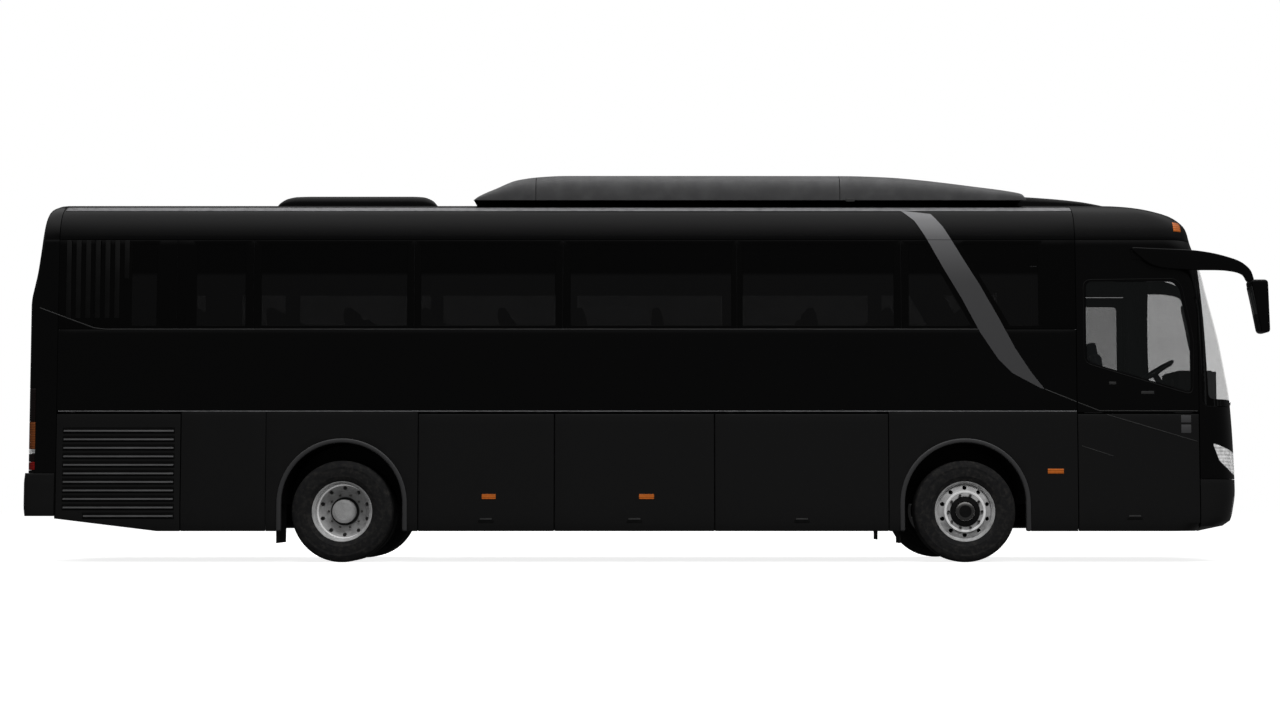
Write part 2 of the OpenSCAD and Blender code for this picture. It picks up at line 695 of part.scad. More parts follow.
// Rim with its dished disc; +Z of the form faces out of the coach, disc_z is the bolting face
rim_t = 14;
rim_half = 110;
flange_rise = 16;
// Half of the tyre's section, as [radius, offset]; its bead sits inside the rim's flange
tyre_side = [[bead_r, 14 - rim_half], [bead_r + flange_rise, 10 - rim_half], [bead_r + 20, -tyre_w / 2 + 22], [bead_r + 60, -tyre_w / 2 + 6],
    [bead_r + 110, -tyre_w / 2], [tyre_r - 55, -tyre_w / 2 + 8], [tyre_r - 18, -tyre_w / 2 + 18],
    [tyre_r - 3, -tyre_w / 2 + 32], [tyre_r, -tyre_w / 2 + 60]];
disc_flat_r = 200;
vent_r = 24;
vent_ring_r = 234;
module rim_form(disc_z, bore) difference() {
    rotate_extrude($fn = 96) {
        polygon([[bead_r - rim_t, -rim_half], [bead_r + flange_rise, -rim_half],
            [bead_r + flange_rise, -rim_half + 10], [bead_r, -rim_half + 14], [bead_r, rim_half - 14],
            [bead_r + flange_rise, rim_half - 10], [bead_r + flange_rise, rim_half],
            [bead_r - rim_t, rim_half]]);
        polygon([[bead_r - rim_t / 2, disc_z - 100], [bead_r - rim_t / 2, disc_z - 70],
            [disc_flat_r, disc_z], [bore, disc_z], [bore, disc_z - rim_t], [disc_flat_r - 6, disc_z - rim_t]]);
    }
    for (a = [0 : 36 : 359]) rotate([0, 0, a + 18]) translate([vent_ring_r, 0, disc_z - 110])
        cylinder(r = vent_r, h = 120);
}
module front_wheel_place(s) translate([front_axle_x, s * tyre_mid_y, tyre_r]) rotate([s * -90, 0, 0]) children();
module front_rim(s) color(silver) front_wheel_place(s) {
    rim_form(front_disc, hub_bore);
    difference() {
        translate([0, 0, -20]) cylinder(r = hub_r, h = front_disc + 20 + 30);
        translate([0, 0, -21]) cylinder(r = hub_bore, h = spindle_out + 25);
    }
}
hub_r = 102;
front_disc = 112;
spindle_out = 90;     // how far the spindle reaches past the tyre's middle
module front_tyre(s) color(rubber_black) front_wheel_place(s) tyre_form();
module rear_place(s, inner) translate([rear_axle_x, s * (tyre_mid_y - (inner ? tyre_w + twin_gap : 0)), tyre_r])
    rotate([s * -90, 0, 0]) children();
rear_disc = (tyre_w + twin_gap) / 2;
module rear_rims(s) color(silver) {
    rear_place(s, false) mirror([0, 0, 1]) rim_form(rear_disc, hub_r - 2);
    rear_place(s, true) rim_form(rear_disc, hub_r - 2);
    rear_place(s, false) translate([0, 0, -rear_disc]) difference() {
        translate([0, 0, -60]) cylinder(r = hub_r, h = 210);
        translate([0, 0, -61]) cylinder(r = hub_bore, h = 181);
    }
}
module rear_tyres(s) color(rubber_black) for (inner = [true, false]) rear_place(s, inner) tyre_form();
// Kingpin boss of the axle beam, held between the two lugs of the knuckle
boss_r = 45;
boss_h = 110;
boss_play = 0.4;
lug_h = 28;
plate_y = 52;
plate_t = 24;
module knuckle(s) color(frame_grey) translate([front_axle_x, s * kingpin_y, tyre_r])
    rotate([0, 0, s > 0 ? 0 : 180]) {
        for (z = [boss_h / 2 + boss_play, -boss_h / 2 - boss_play - lug_h]) {
            translate([0, 0, z]) cylinder(r = boss_r - 5, h = lug_h);
            translate([-30, 0, z]) cube([60, plate_y + 2, lug_h]);
        }
        translate([-30, plate_y, -boss_h / 2 - lug_h]) cube([60, plate_t, boss_h + 2 * lug_h]);
        translate([0, plate_y + 2, 0]) rotate([-90, 0, 0])
            cylinder(r = spindle_r, h = tyre_mid_y - kingpin_y - plate_y - 2 + spindle_out);
    }
beam_low = 400;
beam_h = 90;
module front_axle() color(frame_grey) {
    beam_half = kingpin_y - 150;
    translate([front_axle_x - 45, -beam_half, beam_low]) cube([90, 2 * beam_half, beam_h]);
    both_sides() {
        translate([front_axle_x, -kingpin_y, tyre_r - boss_h / 2]) cylinder(r = boss_r, h = boss_h);
        translate([front_axle_x - 35, -kingpin_y, tyre_r - 40]) cube([70, 130, 80]);
        translate([front_axle_x - 35, -kingpin_y + 100, beam_low]) cube([70, 60, tyre_r + 40 - beam_low]);
        translate([front_axle_x, -440, beam_low + beam_h - 1]) cylinder(r = 100, h = rail_low - beam_low - beam_h + 1);
    }
}
module rear_axle() color(frame_grey) {
    rear_spindle_y = tyre_mid_y - rear_disc + 110;
    translate([rear_axle_x, rear_spindle_y, tyre_r]) rotate([90, 0, 0])
        cylinder(r = spindle_r, h = 2 * rear_spindle_y);
    translate([rear_axle_x, 640, tyre_r]) rotate([90, 0, 0]) cylinder(r = 75, h = 1280);
    translate([rear_axle_x, 0, tyre_r]) sphere(r = 190);
    both_sides() for (d = [-330, 330]) {
        translate([rear_axle_x + d, -440, 520]) cylinder(r = 100, h = rail_low - 520);
        translate([rear_axle_x + (d < 0 ? d : 0), -480, 470]) cube([330, 80, 50]);
    }
}

/* Doors */
module passenger_door() color(black_paint) {
    difference() {
        intersection() {
            nose_wall(0, panel_t);
            box([door_x[0], door_x[1] - hinge_drop], [half_width - 400, half_width + 60], door_z);
        }
        door_glass_cut();
    }
    for (z = door_hinge_z) door_hinge(z) hinge_moving();
}
module door_glass_cut() box([door_x[0] + 70, door_x[1] - 90], [half_width - 400, half_width + 60], [1150, 2770]);
module passenger_door_glass() color(dark_glass) intersection() {
    nose_wall(0, glass_t);
    door_glass_cut();
}
module luggage_door(i) color(black_paint) lid(bay_x[i], bay_x[i + 1]);
module engine_side_door() color(black_paint) lid(side_door_rear_x, side_door_front_x);
module driver_side_flap() color(black_paint) {
    intersection() {
        nose_wall(0, panel_t);
        box([cab_seam_x + door_gap, mask_seam_x - door_gap], side_y, [skirt_z, door_top_z]);
    }
    on_lid_hinges(cab_seam_x, mask_seam_x) hinge_moving();
}
module engine_door() color(black_paint) {
    intersection() {
        tail_wall(0, panel_t);
        box([rear_x - 100, tail_seam_x - 150], [-engine_door_half, engine_door_half],
            [engine_door_z[0], engine_door_z[1] - hinge_drop]);
    }
    on_engine_door_hinges() hinge_moving();
}
module on_engine_door_hinges() for (y = [-600, 600])
    translate([tail_x(engine_door_z[1]) + hinge_in + 1, y, engine_door_z[1]]) rotate([0, 0, 90]) children();

bay_structure();
front_frame();
rear_frame();
floor_deck();
cab_floor();
side_walls();
roof_panel();
roof_sides();
front_roof_cap();
front_mask();
windscreen();
front_quarter_panels();
rear_mask();
side_windows();
driver_window();
skirt_panels();
wheel_arch_trims();
stripe_panels();
headlamps();
tail_lamps();
marker_lamps();
front_bumper();
rear_bumper();
air_conditioner();
roof_vent();
mirrors();
wipers();
dashboard();
driver_seat();
passenger_seats();
luggage_racks();
engine_block();
front_axle();
rear_axle();
mud_flaps();
knuckle(-1);  // knuckle_right
knuckle(1);  // knuckle_left
front_rim(-1);  // front_rim_right
front_rim(1);  // front_rim_left
front_tyre(-1);  // front_tyre_right
front_tyre(1);  // front_tyre_left
rear_rims(-1);  // rear_rims_right
rear_rims(1);  // rear_rims_left
rear_tyres(-1);  // rear_tyres_right
rear_tyres(1);  // rear_tyres_left
steering_wheel();
passenger_door();
passenger_door_glass();
luggage_door(0);  // luggage_door_right_1
luggage_door(1);  // luggage_door_right_2
luggage_door(2);  // luggage_door_right_3
mirror([0, 1, 0]) luggage_door(0);  // luggage_door_left_1
mirror([0, 1, 0]) luggage_door(1);  // luggage_door_left_2
mirror([0, 1, 0]) luggage_door(2);  // luggage_door_left_3
driver_side_flap();
engine_side_door();  // engine_side_door_right
mirror([0, 1, 0]) engine_side_door();  // engine_side_door_left
engine_door();
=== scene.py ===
"""Looks of a two-axle touring coach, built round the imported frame. Metres; +X front, +Y left, +Z up."""
import json
import math

import bmesh
import bpy
from mathutils import Matrix, Vector

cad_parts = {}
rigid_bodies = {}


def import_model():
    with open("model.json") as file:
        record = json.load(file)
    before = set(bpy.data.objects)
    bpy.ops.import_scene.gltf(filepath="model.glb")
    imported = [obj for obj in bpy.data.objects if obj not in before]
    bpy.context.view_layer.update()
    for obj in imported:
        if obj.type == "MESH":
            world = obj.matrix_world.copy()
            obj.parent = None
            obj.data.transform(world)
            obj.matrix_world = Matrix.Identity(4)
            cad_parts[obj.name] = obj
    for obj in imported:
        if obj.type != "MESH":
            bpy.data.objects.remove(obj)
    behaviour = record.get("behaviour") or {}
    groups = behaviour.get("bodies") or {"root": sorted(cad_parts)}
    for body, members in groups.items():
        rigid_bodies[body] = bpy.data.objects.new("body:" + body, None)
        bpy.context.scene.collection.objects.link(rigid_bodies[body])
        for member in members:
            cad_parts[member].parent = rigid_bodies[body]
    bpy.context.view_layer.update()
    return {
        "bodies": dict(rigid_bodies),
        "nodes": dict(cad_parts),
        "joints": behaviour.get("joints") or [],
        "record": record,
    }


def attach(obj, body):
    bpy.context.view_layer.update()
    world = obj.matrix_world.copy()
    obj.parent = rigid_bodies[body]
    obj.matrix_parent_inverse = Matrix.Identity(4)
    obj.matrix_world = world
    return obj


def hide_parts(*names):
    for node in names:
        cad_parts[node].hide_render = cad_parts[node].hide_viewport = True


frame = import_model()

# ---------------------------------------------------------------- driving dimensions
HALF_WIDTH = 1.25
FRONT_X = 6.082
REAR_X = -6.243
SKIRT_Z = 0.310
BELT_Z = 1.505
BAND_Z = 2.330
RAIL_Z = 3.234
ROOF_Z = 3.652
TAIL_SEAM = -5.878
CAB_SEAM = 4.338
MASK_SEAM = 5.558
BUMPER_TOP = 0.830
WALL = 0.050
PANEL = 0.040
SEAM = 0.003            # half the gap between two fixed panels
LID_GAP = 0.006
NOSE_DEPTH = 0.450
NOSE_POWER = 2.6
TAIL_DEPTH = 0.150
TAIL_POWER = 6.0
FRONT_AXLE = 3.212
REAR_AXLE = -3.018
TYRE_R = 0.507
TYRE_W = 0.276
TYRE_Y = 1.225 - TYRE_W / 2
BEAD_R = 0.286
ARCH_R = 0.605
ARCH_Z = 0.585
ARCH_LIP = 0.050
BAY_X = (-2.258, -0.894, 0.707, 2.449)
ENGINE_DOOR_X = (TAIL_SEAM, -4.628)
REAR_PANEL_X = -3.778
TWIN_STEP = TYRE_W + 0.034
BUMPER_FRONT = -5.890
WINDOW_Z = (2.370, 3.190)
LID_TOP = 1.479
HINGE_Y = 1.244
HINGE_Z = 1.492
HINGE_INSET = 0.160
HINGE_STEP = 0.0604     # from a moving barrel to the fixed ones beside it
REAR_HINGE = (-6.186, 1.560)
REAR_HINGE_Y = 0.6
SKIN = WALL - 0.004
PANE_DEPTH = 0.010
SCREEN_CORNER = 0.07
LAMP_CORNER = 0.03
DRIVER_CORNER = 0.06
REACH = 1.6             # how far out the cutters go
NOSE_CUT = (5.7, 6.3)
TAIL_CUT = (-6.4, -6.03)
TOW_Y = 0.44
TOW_Z = 0.68
TOW_R = 0.033
SEAT_ROWS = 12
SEAT_PITCH = 0.78
FIRST_SEAT_X = 3.35
DECK_Z = 1.53
SEAT_Y = 0.225          # from the middle of a pair to each seat
DRIVER_Y = -0.64
COLUMN_FOOT = (5.52, DRIVER_Y, 1.50)
COLUMN_TILT = -32
COLUMN_LENGTH = 0.4704
SIDES = (("right", -1), ("left", 1))
BACKDROP_R = 90
CAMERA_LENS = 60.75
CAMERA_SPOT = (-0.038, -22.85, 0.60)
CAMERA_TILT = 93.764

WIDTHS = ((SKIRT_Z, 1.228), (0.43, 1.246), (0.60, 1.25), (2.30, 1.25), (RAIL_Z, 1.236), (3.33, 1.222),
          (3.43, 1.188), (3.51, 1.13), (3.57, 1.045), (3.612, 0.93), (3.64, 0.77), (ROOF_Z, 0.55))
NOSES = ((SKIRT_Z, 5.712), (0.35, 5.927), (0.42, 6.032), (0.54, 6.06), (0.71, FRONT_X), (1.114, 6.072),
         (1.64, 6.041), (1.94, 5.994), (2.235, 5.94), (2.68, 5.832), (3.0, 5.753), (3.233, 5.666),
         (3.377, 5.63), (3.49, 5.527), (3.562, 5.362), (3.624, 5.126), (ROOF_Z, 4.882))
TAILS = ((SKIRT_Z, -6.187), (0.9, -6.193), (2.57, -6.193), (2.92, -6.132), (3.23, -6.093),
         (3.54, -6.052), (3.612, -5.983), (ROOF_Z, -5.893))

# Where one side pane ends and the next begins
PANE_SEAMS = (-5.52, -4.69, -3.92, -2.306, -0.8125, 0.9365, 2.585)
STRIPE_SHAPE = [(2.603, 3.55), (2.733, 3.43), (2.833, 3.27), (3.013, 2.945), (3.193, 2.64), (3.373, 2.30),
                (3.553, 2.03), (3.693, 1.89), (3.973, 1.74), (4.013, 1.73), (3.873, 1.91), (3.723, 2.14),
                (3.553, 2.46), (3.373, 2.78), (3.193, 3.07), (3.013, 3.37), (2.903, 3.51)]
DRIVER_GLASS = [(4.442, 2.81), (5.32, 2.81), (5.38, 2.74), (5.48, 2.24), (5.48, 1.70), (4.442, 2.01)]
SCREEN_SHAPE = [(5.600, 1.560), (6.3, 1.560), (6.3, 3.150), (5.540, 3.150)]
LAMP_SHAPE = [(5.69, 1.19), (5.98, 1.09), (6.2, 1.08), (6.2, 0.80), (5.90, 0.905), (5.76, 1.01)]
HEAD_SHAPE = [(6.150, 2.285), (6.235, 2.285), (6.222, 2.815), (6.052, 2.815)]
TOW_HOLE = [(TOW_Y + TOW_R * math.cos(math.tau * i / 24), TOW_Z + TOW_R * math.sin(math.tau * i / 24))
            for i in range(24)]


def smooth_table(table):
    """A curve through the table's points that never overshoots them."""
    xs = [p[0] for p in table]
    ys = [p[1] for p in table]
    steps = [(ys[i + 1] - ys[i]) / (xs[i + 1] - xs[i]) for i in range(len(xs) - 1)]
    slopes = [steps[0]]
    for a, b in zip(steps, steps[1:]):
        slopes.append(0.0 if a * b <= 0 else 2 * a * b / (a + b))
    slopes.append(steps[-1])

    def value(x):
        x = min(max(x, xs[0]), xs[-1])
        i = max(k for k in range(len(xs) - 1) if xs[k] <= x)
        h = xs[i + 1] - xs[i]
        t = (x - xs[i]) / h
        return (ys[i] * (1 + 2 * t) * (1 - t) ** 2 + slopes[i] * h * t * (1 - t) ** 2
                + ys[i + 1] * t * t * (3 - 2 * t) + slopes[i + 1] * h * t * t * (t - 1))
    return value


half_width = smooth_table(WIDTHS)
nose_x = smooth_table(NOSES)
tail_x = smooth_table(TAILS)


def side_y(x, z):
    """Half width of the body at one station and height, positive."""
    w = half_width(z)
    front = (x - nose_x(z) + NOSE_DEPTH) / NOSE_DEPTH
    depth = min(TAIL_DEPTH, TAIL_SEAM - tail_x(z) - 0.004)
    rear = (tail_x(z) + depth - x) / depth
    if front > 0:
        return w * (1 - min(front, 1) ** NOSE_POWER) ** (1 / NOSE_POWER)
    if rear > 0:
        return w * (1 - min(rear, 1) ** TAIL_POWER) ** (1 / TAIL_POWER)
    return w


def evenly(dense, count):
    """Points at even distances along a line of points, from its first to its last."""
    lengths = [0.0]
    for a, b in zip(dense, dense[1:]):
        lengths.append(lengths[-1] + (b - a).length)
    out = []
    j = 0
    for i in range(count + 1):
        s = lengths[-1] * i / count
        while j < len(dense) - 2 and lengths[j + 1] < s:
            j += 1
        t = (s - lengths[j]) / max(lengths[j + 1] - lengths[j], 1e-9)
        out.append(dense[j].lerp(dense[j + 1], min(max(t, 0), 1)))
    return out


def swell(c, power):
    """How far out a rounded plan stands where the cosine is c."""
    return math.copysign(abs(c) ** (2 / power), c)


def end_plan(z, front, seam, count):
    """Points of the rounded end at one height, evenly spaced from the right side to the left."""
    tip = nose_x(z) if front else tail_x(z)
    depth = NOSE_DEPTH if front else min(TAIL_DEPTH, TAIL_SEAM - tip - 0.004)
    power = NOSE_POWER if front else TAIL_POWER
    way = 1 if front else -1
    w = half_width(z)
    dense = []
    steps = 120
    for i in range(steps + 1):
        a = math.pi * i / steps
        c = math.cos(a)
        x = tip - way * depth * (1 - math.sin(a) ** (2 / power))
        dense.append(Vector((x, -swell(c, power) * w, z)))
    start = dense[0].x
    if (start - seam) * way > 0:
        dense = [Vector((seam, -w, z))] + dense + [Vector((seam, w, z))]
    else:
        inside = [p for p in dense if (p.x - seam) * way > 0]
        edge = side_y(seam, z)
        dense = [Vector((seam, -edge, z))] + inside + [Vector((seam, edge, z))]
    return evenly(dense, count)


# ---------------------------------------------------------------- shader values
class Value:
    """An output socket of a material. Sums, differences and products add Math nodes."""

    def __init__(self, tree, socket=None):
        self.tree = tree
        self.socket = socket

    def node(self, kind, settings=None, inputs=None, out=0):
        made = self.tree.nodes.new("ShaderNode" + kind)
        for key, value in (settings or {}).items():
            setattr(made, key, value)
        for key, value in (inputs or {}).items():
            if isinstance(value, Value):
                self.tree.links.new(value.socket, made.inputs[key])
            else:
                made.inputs[key].default_value = value
        return Value(self.tree, made.outputs[out])

    def math(self, operation, *values):
        return self.node("Math", {"operation": operation}, dict(enumerate(values)))

    def __add__(self, other):
        return self.math("ADD", self, other)

    def __sub__(self, other):
        return self.math("SUBTRACT", self, other)

    def __rsub__(self, other):
        return self.math("SUBTRACT", other, self)

    def __mul__(self, other):
        return self.math("MULTIPLY", self, other)

    __radd__ = __add__
    __rmul__ = __mul__

    def smooth(self, low, high):
        return self.node("MapRange", {"interpolation_type": "SMOOTHSTEP"},
                         {0: self, 1: low, 2: high, 3: 0.0, 4: 1.0})

    def part(self, axis):
        return self.node("SeparateXYZ", {}, {0: self}, "XYZ".index(axis))

    def noise(self, scale, detail=3.0, rough=0.5):
        return self.node("TexNoise", {}, {"Vector": self, "Scale": scale, "Detail": detail,
                                          "Roughness": rough})

    def mix(self, low, high):
        """Colour that goes from low to high as this value goes from 0 to 1."""
        return self.node("Mix", {"data_type": "RGBA"}, {
            0: self, 6: low if isinstance(low, Value) else (*low, 1),
            7: high if isinstance(high, Value) else (*high, 1)}, 2)

    def bump(self, strength, distance):
        return self.node("Bump", {}, {"Height": self, "Strength": strength, "Distance": distance})


def material(name, build, **fixed):
    """A material whose build(coords) gives the sockets that vary; fixed ones are set on the shader."""
    made = bpy.data.materials.new(name)
    made.use_nodes = True
    tree = made.node_tree
    tree.nodes.clear()
    start = Value(tree)
    coords = start.node("TexCoord", {}, {}, "Object")
    inputs = {key.replace("_", " "): value for key, value in fixed.items()}
    inputs.update(build(coords))
    shader = start.node("BsdfPrincipled", {}, {
        key: (*value, 1) if isinstance(value, tuple) and len(value) == 3 else value
        for key, value in inputs.items()})
    output = tree.nodes.new("ShaderNodeOutputMaterial")
    tree.links.new(shader.socket, output.inputs["Surface"])
    return made


def paint(name, colour, rough=0.08, dust=0.1, coat=0.5, painted_sheen=0.0):
    """Lacquer over colour, with an optional painted sheen that lightens the colour towards the roof, by
    height, in place of sky light on the upper curve.
    """
    def build(p):
        # painted sheen: the colour turns lighter high up, where the curve would catch the sky light
        sheen_mask = p.part("Z").smooth(2.75, 3.45) * painted_sheen
        flow = p.noise(3.0, 2.0)
        peel = p.noise(160.0, 1.0)
        low = 1 - p.part("Z").smooth(0.25, 1.5)
        grime = low * p.noise(26.0, 6.0, 0.65).smooth(0.30, 0.85) * dust
        tone = sheen_mask.mix(colour, tuple(c * 2.6 for c in colour))
        return {"Base Color": grime.mix(tone, (0.030, 0.029, 0.028)),
                "Roughness": rough + 0.03 * flow + 0.25 * grime,
                "Normal": peel.bump(0.012, 0.001)}
    return material(name, build, Coat_Weight=coat, Coat_Roughness=0.03)


def plastic(name, colour, rough=0.5, grain=900.0, depth=0.15):
    def build(p):
        wear = p.noise(6.0, 5.0, 0.6)
        return {"Base Color": wear.smooth(0.3, 0.8).mix(colour, tuple(c * 1.35 + 0.002 for c in colour)),
                "Roughness": rough + 0.12 * (wear - 0.5),
                "Normal": p.noise(grain, 2.0).bump(depth, 0.0006)}
    return material(name, build)


def metal(name, colour, rough=0.3, brushed=250.0, metallic=1.0, glow=0.0):
    def build(p):
        stain = p.noise(14.0, 6.0, 0.6)
        return {"Base Color": stain.smooth(0.35, 0.8).mix(colour, tuple(c * 0.62 for c in colour)),
                "Roughness": rough + 0.2 * (stain - 0.45),
                "Normal": p.noise(brushed, 4.0).bump(0.08, 0.0005)}
    # glow makes the metal emit its own colour: painted light, used on the wheel rims in place of highlights
    return material(name, build, Metallic=metallic, Emission_Color=colour, Emission_Strength=glow)


def rubber(name, colour=(0.018, 0.018, 0.019), rough=0.75):
    def build(p):
        dust = p.noise(22.0, 6.0, 0.7).smooth(0.42, 0.78)
        return {"Base Color": dust.mix(colour, (0.055, 0.052, 0.048)),
                "Roughness": rough + 0.12 * dust,
                "Normal": p.noise(420.0, 3.0).bump(0.25, 0.0006)}
    return material(name, build)


def glass(name, colour, alpha, rough=0.02, shade=0.0):
    """Tinted safety glass: what alpha leaves comes straight through; shade is the dark strip at its top."""
    def build(p):
        film = p.noise(2.4, 4.0, 0.6).smooth(0.45, 0.8)
        strip = p.part("Z").smooth(2.86, 2.91) * shade
        return {"Base Color": strip.mix(colour, tuple(c * 0.3 for c in colour)),
                "Roughness": rough + 0.03 * film, "Alpha": alpha + 0.015 * film,
                "Normal": p.noise(1.3, 1.0).bump(0.02, 0.01)}
    return material(name, build, IOR=1.5)


def lamp(name, colour, alpha=1.0, ribs=260.0, glow=0.0):
    def build(p):
        rows = (p.part("Z") * ribs).math("SINE", p.part("Z") * ribs)
        crest = rows.smooth(-1.0, 1.0)
        spread = p.noise(34.0, 2.0).smooth(0.30, 0.70)
        # the base colour is painted darker in the rib troughs and lighter on the crests: painted shade and
        # highlight of the ribs
        return {"Base Color": crest.mix(tuple(c * 0.6 for c in colour), colour),
                "Roughness": 0.07 + 0.05 * crest, "Alpha": alpha, "Normal": rows.bump(0.25, 0.002),
                "Emission Color": (0.3 * crest + 0.7 * spread).mix(tuple(c * 0.35 for c in colour), colour)}
    return material(name, build, Coat_Weight=1.0, IOR=1.49, Emission_Strength=glow)


def cloth(name, colour, second, scale=420.0):
    def build(p):
        weft = (p.part("Y") * scale * 6.0).math("SINE", p.part("Y") * scale * 6.0)
        warp = (p.part("Z") * scale * 6.0).math("SINE", p.part("Z") * scale * 6.0)
        weave = weft * warp
        motif = p.noise(16.0, 2.0).smooth(0.52, 0.58)
        return {"Base Color": motif.mix(colour, second), "Roughness": 0.85 + 0.05 * weave,
                "Normal": weave.bump(0.4, 0.0008)}
    return material(name, build, Sheen_Weight=0.3)


BLACK = paint("gloss_black", (0.0018, 0.0018, 0.0019))
LOWER_BLACK = paint("skirt_black", (0.0142, 0.0142, 0.0144), rough=0.12, dust=0.12)
ROOF_BLACK = paint("roof_black", (0.0036, 0.0036, 0.0038), rough=0.24, dust=0.0, coat=0.05)
# the stripe carries a painted sheen that lightens it towards the roof
STRIPE = paint("stripe_grey", (0.10, 0.10, 0.103), rough=0.25, dust=0.0, coat=0.3, painted_sheen=0.9)
BRIGHT_TRIM = metal("bright_trim", (0.32, 0.32, 0.33), rough=0.34, metallic=0.3)
POD_GREY = plastic("pod_grey", (0.095, 0.095, 0.097), rough=0.42, grain=500.0)
TRIM_GREY = plastic("trim_grey", (0.05, 0.05, 0.05), rough=0.38)
TRIM_BLACK = plastic("trim_black", (0.006, 0.006, 0.006), rough=0.42)
PLASTIC = plastic("cabin_plastic", (0.018, 0.018, 0.019), rough=0.55, grain=700.0, depth=0.3)
LINER = plastic("ceiling_liner", (0.11, 0.11, 0.11), rough=0.8, grain=300.0, depth=0.4)
VINYL = plastic("floor_vinyl", (0.03, 0.03, 0.034), rough=0.6, grain=120.0, depth=0.3)
FRIT = glass("glass_border", (0.002, 0.002, 0.002), 1.0)
TINT = glass("tinted_glass", (0.0092, 0.0092, 0.0094), 0.775, shade=1.0)
CLEAR = glass("cab_glass", (0.02, 0.022, 0.022), 0.42)
SCREEN = glass("screen_glass", (0.10, 0.105, 0.105), 0.18)
ARCH_GREY = paint("arch_grey", (0.075, 0.075, 0.077), rough=0.22, dust=0.05, coat=0.4)
# near-black finish for the painted shade inside grille slots
SLOT_SHADE = plastic("slot_painted_shade", (0.0008, 0.0008, 0.0008), rough=0.8)
SLAT = plastic("slat_grey", (0.090, 0.090, 0.092), rough=0.3)
MIRROR = metal("mirror_silver", (0.8, 0.8, 0.8), rough=0.04, brushed=2.0)
TYRE = rubber("tyre_rubber")
SOFT_RUBBER = rubber("soft_rubber", (0.012, 0.012, 0.012), 0.6)
RIM = metal("rim_paint", (0.86, 0.86, 0.86), rough=0.25, metallic=0.2)
# painted highlight: a near-white, non-metal copy of the rim paint that also glows, for the bright lip of the
# rims
RIM_LIP_HIGHLIGHT = metal("rim_lip_painted_highlight", (0.98, 0.98, 0.98), rough=0.3, metallic=0.0, glow=0.22)
# painted shade: a darker copy of the rim paint for the recessed rear dish and hub, with a faint glow of
# painted light
SHADED_DISC = metal("wheel_disc_painted_shade", (0.66, 0.66, 0.66), rough=0.34, metallic=0.2, glow=0.03)
STEEL = metal("bright_steel", (0.62, 0.61, 0.6), rough=0.22)
HUB_BLACK = metal("hub_black", (0.02, 0.02, 0.02), rough=0.45, metallic=0.4)
CHASSIS = metal("chassis_paint", (0.025, 0.025, 0.026), rough=0.6, metallic=0.1)
IRON = metal("engine_iron", (0.06, 0.06, 0.062), rough=0.55, metallic=0.5)
SEAT = cloth("seat_cloth", (0.02, 0.021, 0.028), (0.05, 0.05, 0.06))
AMBER = lamp("amber_lens", (0.80, 0.20, 0.03), glow=0.16)
TAIL_AMBER = lamp("tail_amber_lens", (0.32, 0.09, 0.023), glow=0.08)
RED = lamp("red_lens", (0.35, 0.01, 0.008), glow=0.05)
SMOKED = lamp("smoked_lens", (0.012, 0.006, 0.006))
WHITE_LENS = lamp("clear_lens", (0.85, 0.85, 0.85), alpha=0.45, ribs=180.0, glow=0.12)
HEAD_LENS = lamp("headlamp_lens", (0.85, 0.85, 0.85), alpha=0.45, ribs=180.0, glow=0.78)
BOWL = metal("lamp_bowl", (0.75, 0.75, 0.75), rough=0.12)


# ---------------------------------------------------------------- mesh helpers
def as_object(bm, name, *finishes):
    mesh = bpy.data.meshes.new(name)
    bm.to_mesh(mesh)
    bm.free()
    made = bpy.data.objects.new(name, mesh)
    bpy.context.scene.collection.objects.link(made)
    for finish in finishes:
        mesh.materials.append(finish)
    return made


def modifier(obj, kind, **settings):
    made = obj.modifiers.new(kind.lower(), kind)
    for key, value in settings.items():
        setattr(made, key, value)
    return made


def settle(obj, sharp=35):
    """Applies the modifiers and sets smooth shading with sharp edges past an angle in degrees."""
    graph = bpy.context.evaluated_depsgraph_get()
    mesh = bpy.data.meshes.new_from_object(obj.evaluated_get(graph), depsgraph=graph)
    obj.modifiers.clear()
    obj.data = mesh
    mesh.polygons.foreach_set("use_smooth", [True] * len(mesh.polygons))
    mesh.set_sharp_from_angle(angle=math.radians(sharp))
    return obj


def place(obj, body, slot_name, *nodes):
    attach(obj, body)
    if nodes:
        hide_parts(*nodes)
    return obj


def join(name, objs):
    """One object from several, with each face keeping its own material."""
    bm = bmesh.new()
    finishes = []
    for obj in objs:
        offset = []
        for finish in obj.data.materials:
            if finish not in finishes:
                finishes.append(finish)
            offset.append(finishes.index(finish))
        before = len(bm.faces)
        bm.from_mesh(obj.data)
        bm.faces.ensure_lookup_table()
        for face in bm.faces[before:]:
            face.material_index = offset[min(face.material_index, len(offset) - 1)]
        bpy.data.objects.remove(obj)
    return as_object(bm, name, *finishes)


def fitted(name, parts, body, slot_name, *nodes):
    """Several parts made into one piece, on its body."""
    return place(settle(join(name, parts)), body, slot_name, *nodes)


def prism(points, low, high, axis="Y"):
    """Solid of an outline: (x, z) points swept along Y, or (y, z) points along X, or (x, y) along Z."""
    bm = bmesh.new()
    spots = {"Y": lambda a, b: (a, low, b), "X": lambda a, b: (low, a, b), "Z": lambda a, b: (a, b, low)}
    face = bm.faces.new([bm.verts.new(spots[axis](a, b)) for a, b in points])
    sweep = bmesh.ops.extrude_face_region(bm, geom=[face])
    step = Vector([high - low if axis == name else 0 for name in "XYZ"])
    bmesh.ops.translate(bm, vec=step, verts=[v for v in sweep["geom"] if isinstance(v, bmesh.types.BMVert)])
    bmesh.ops.recalc_face_normals(bm, faces=bm.faces)
    return bm


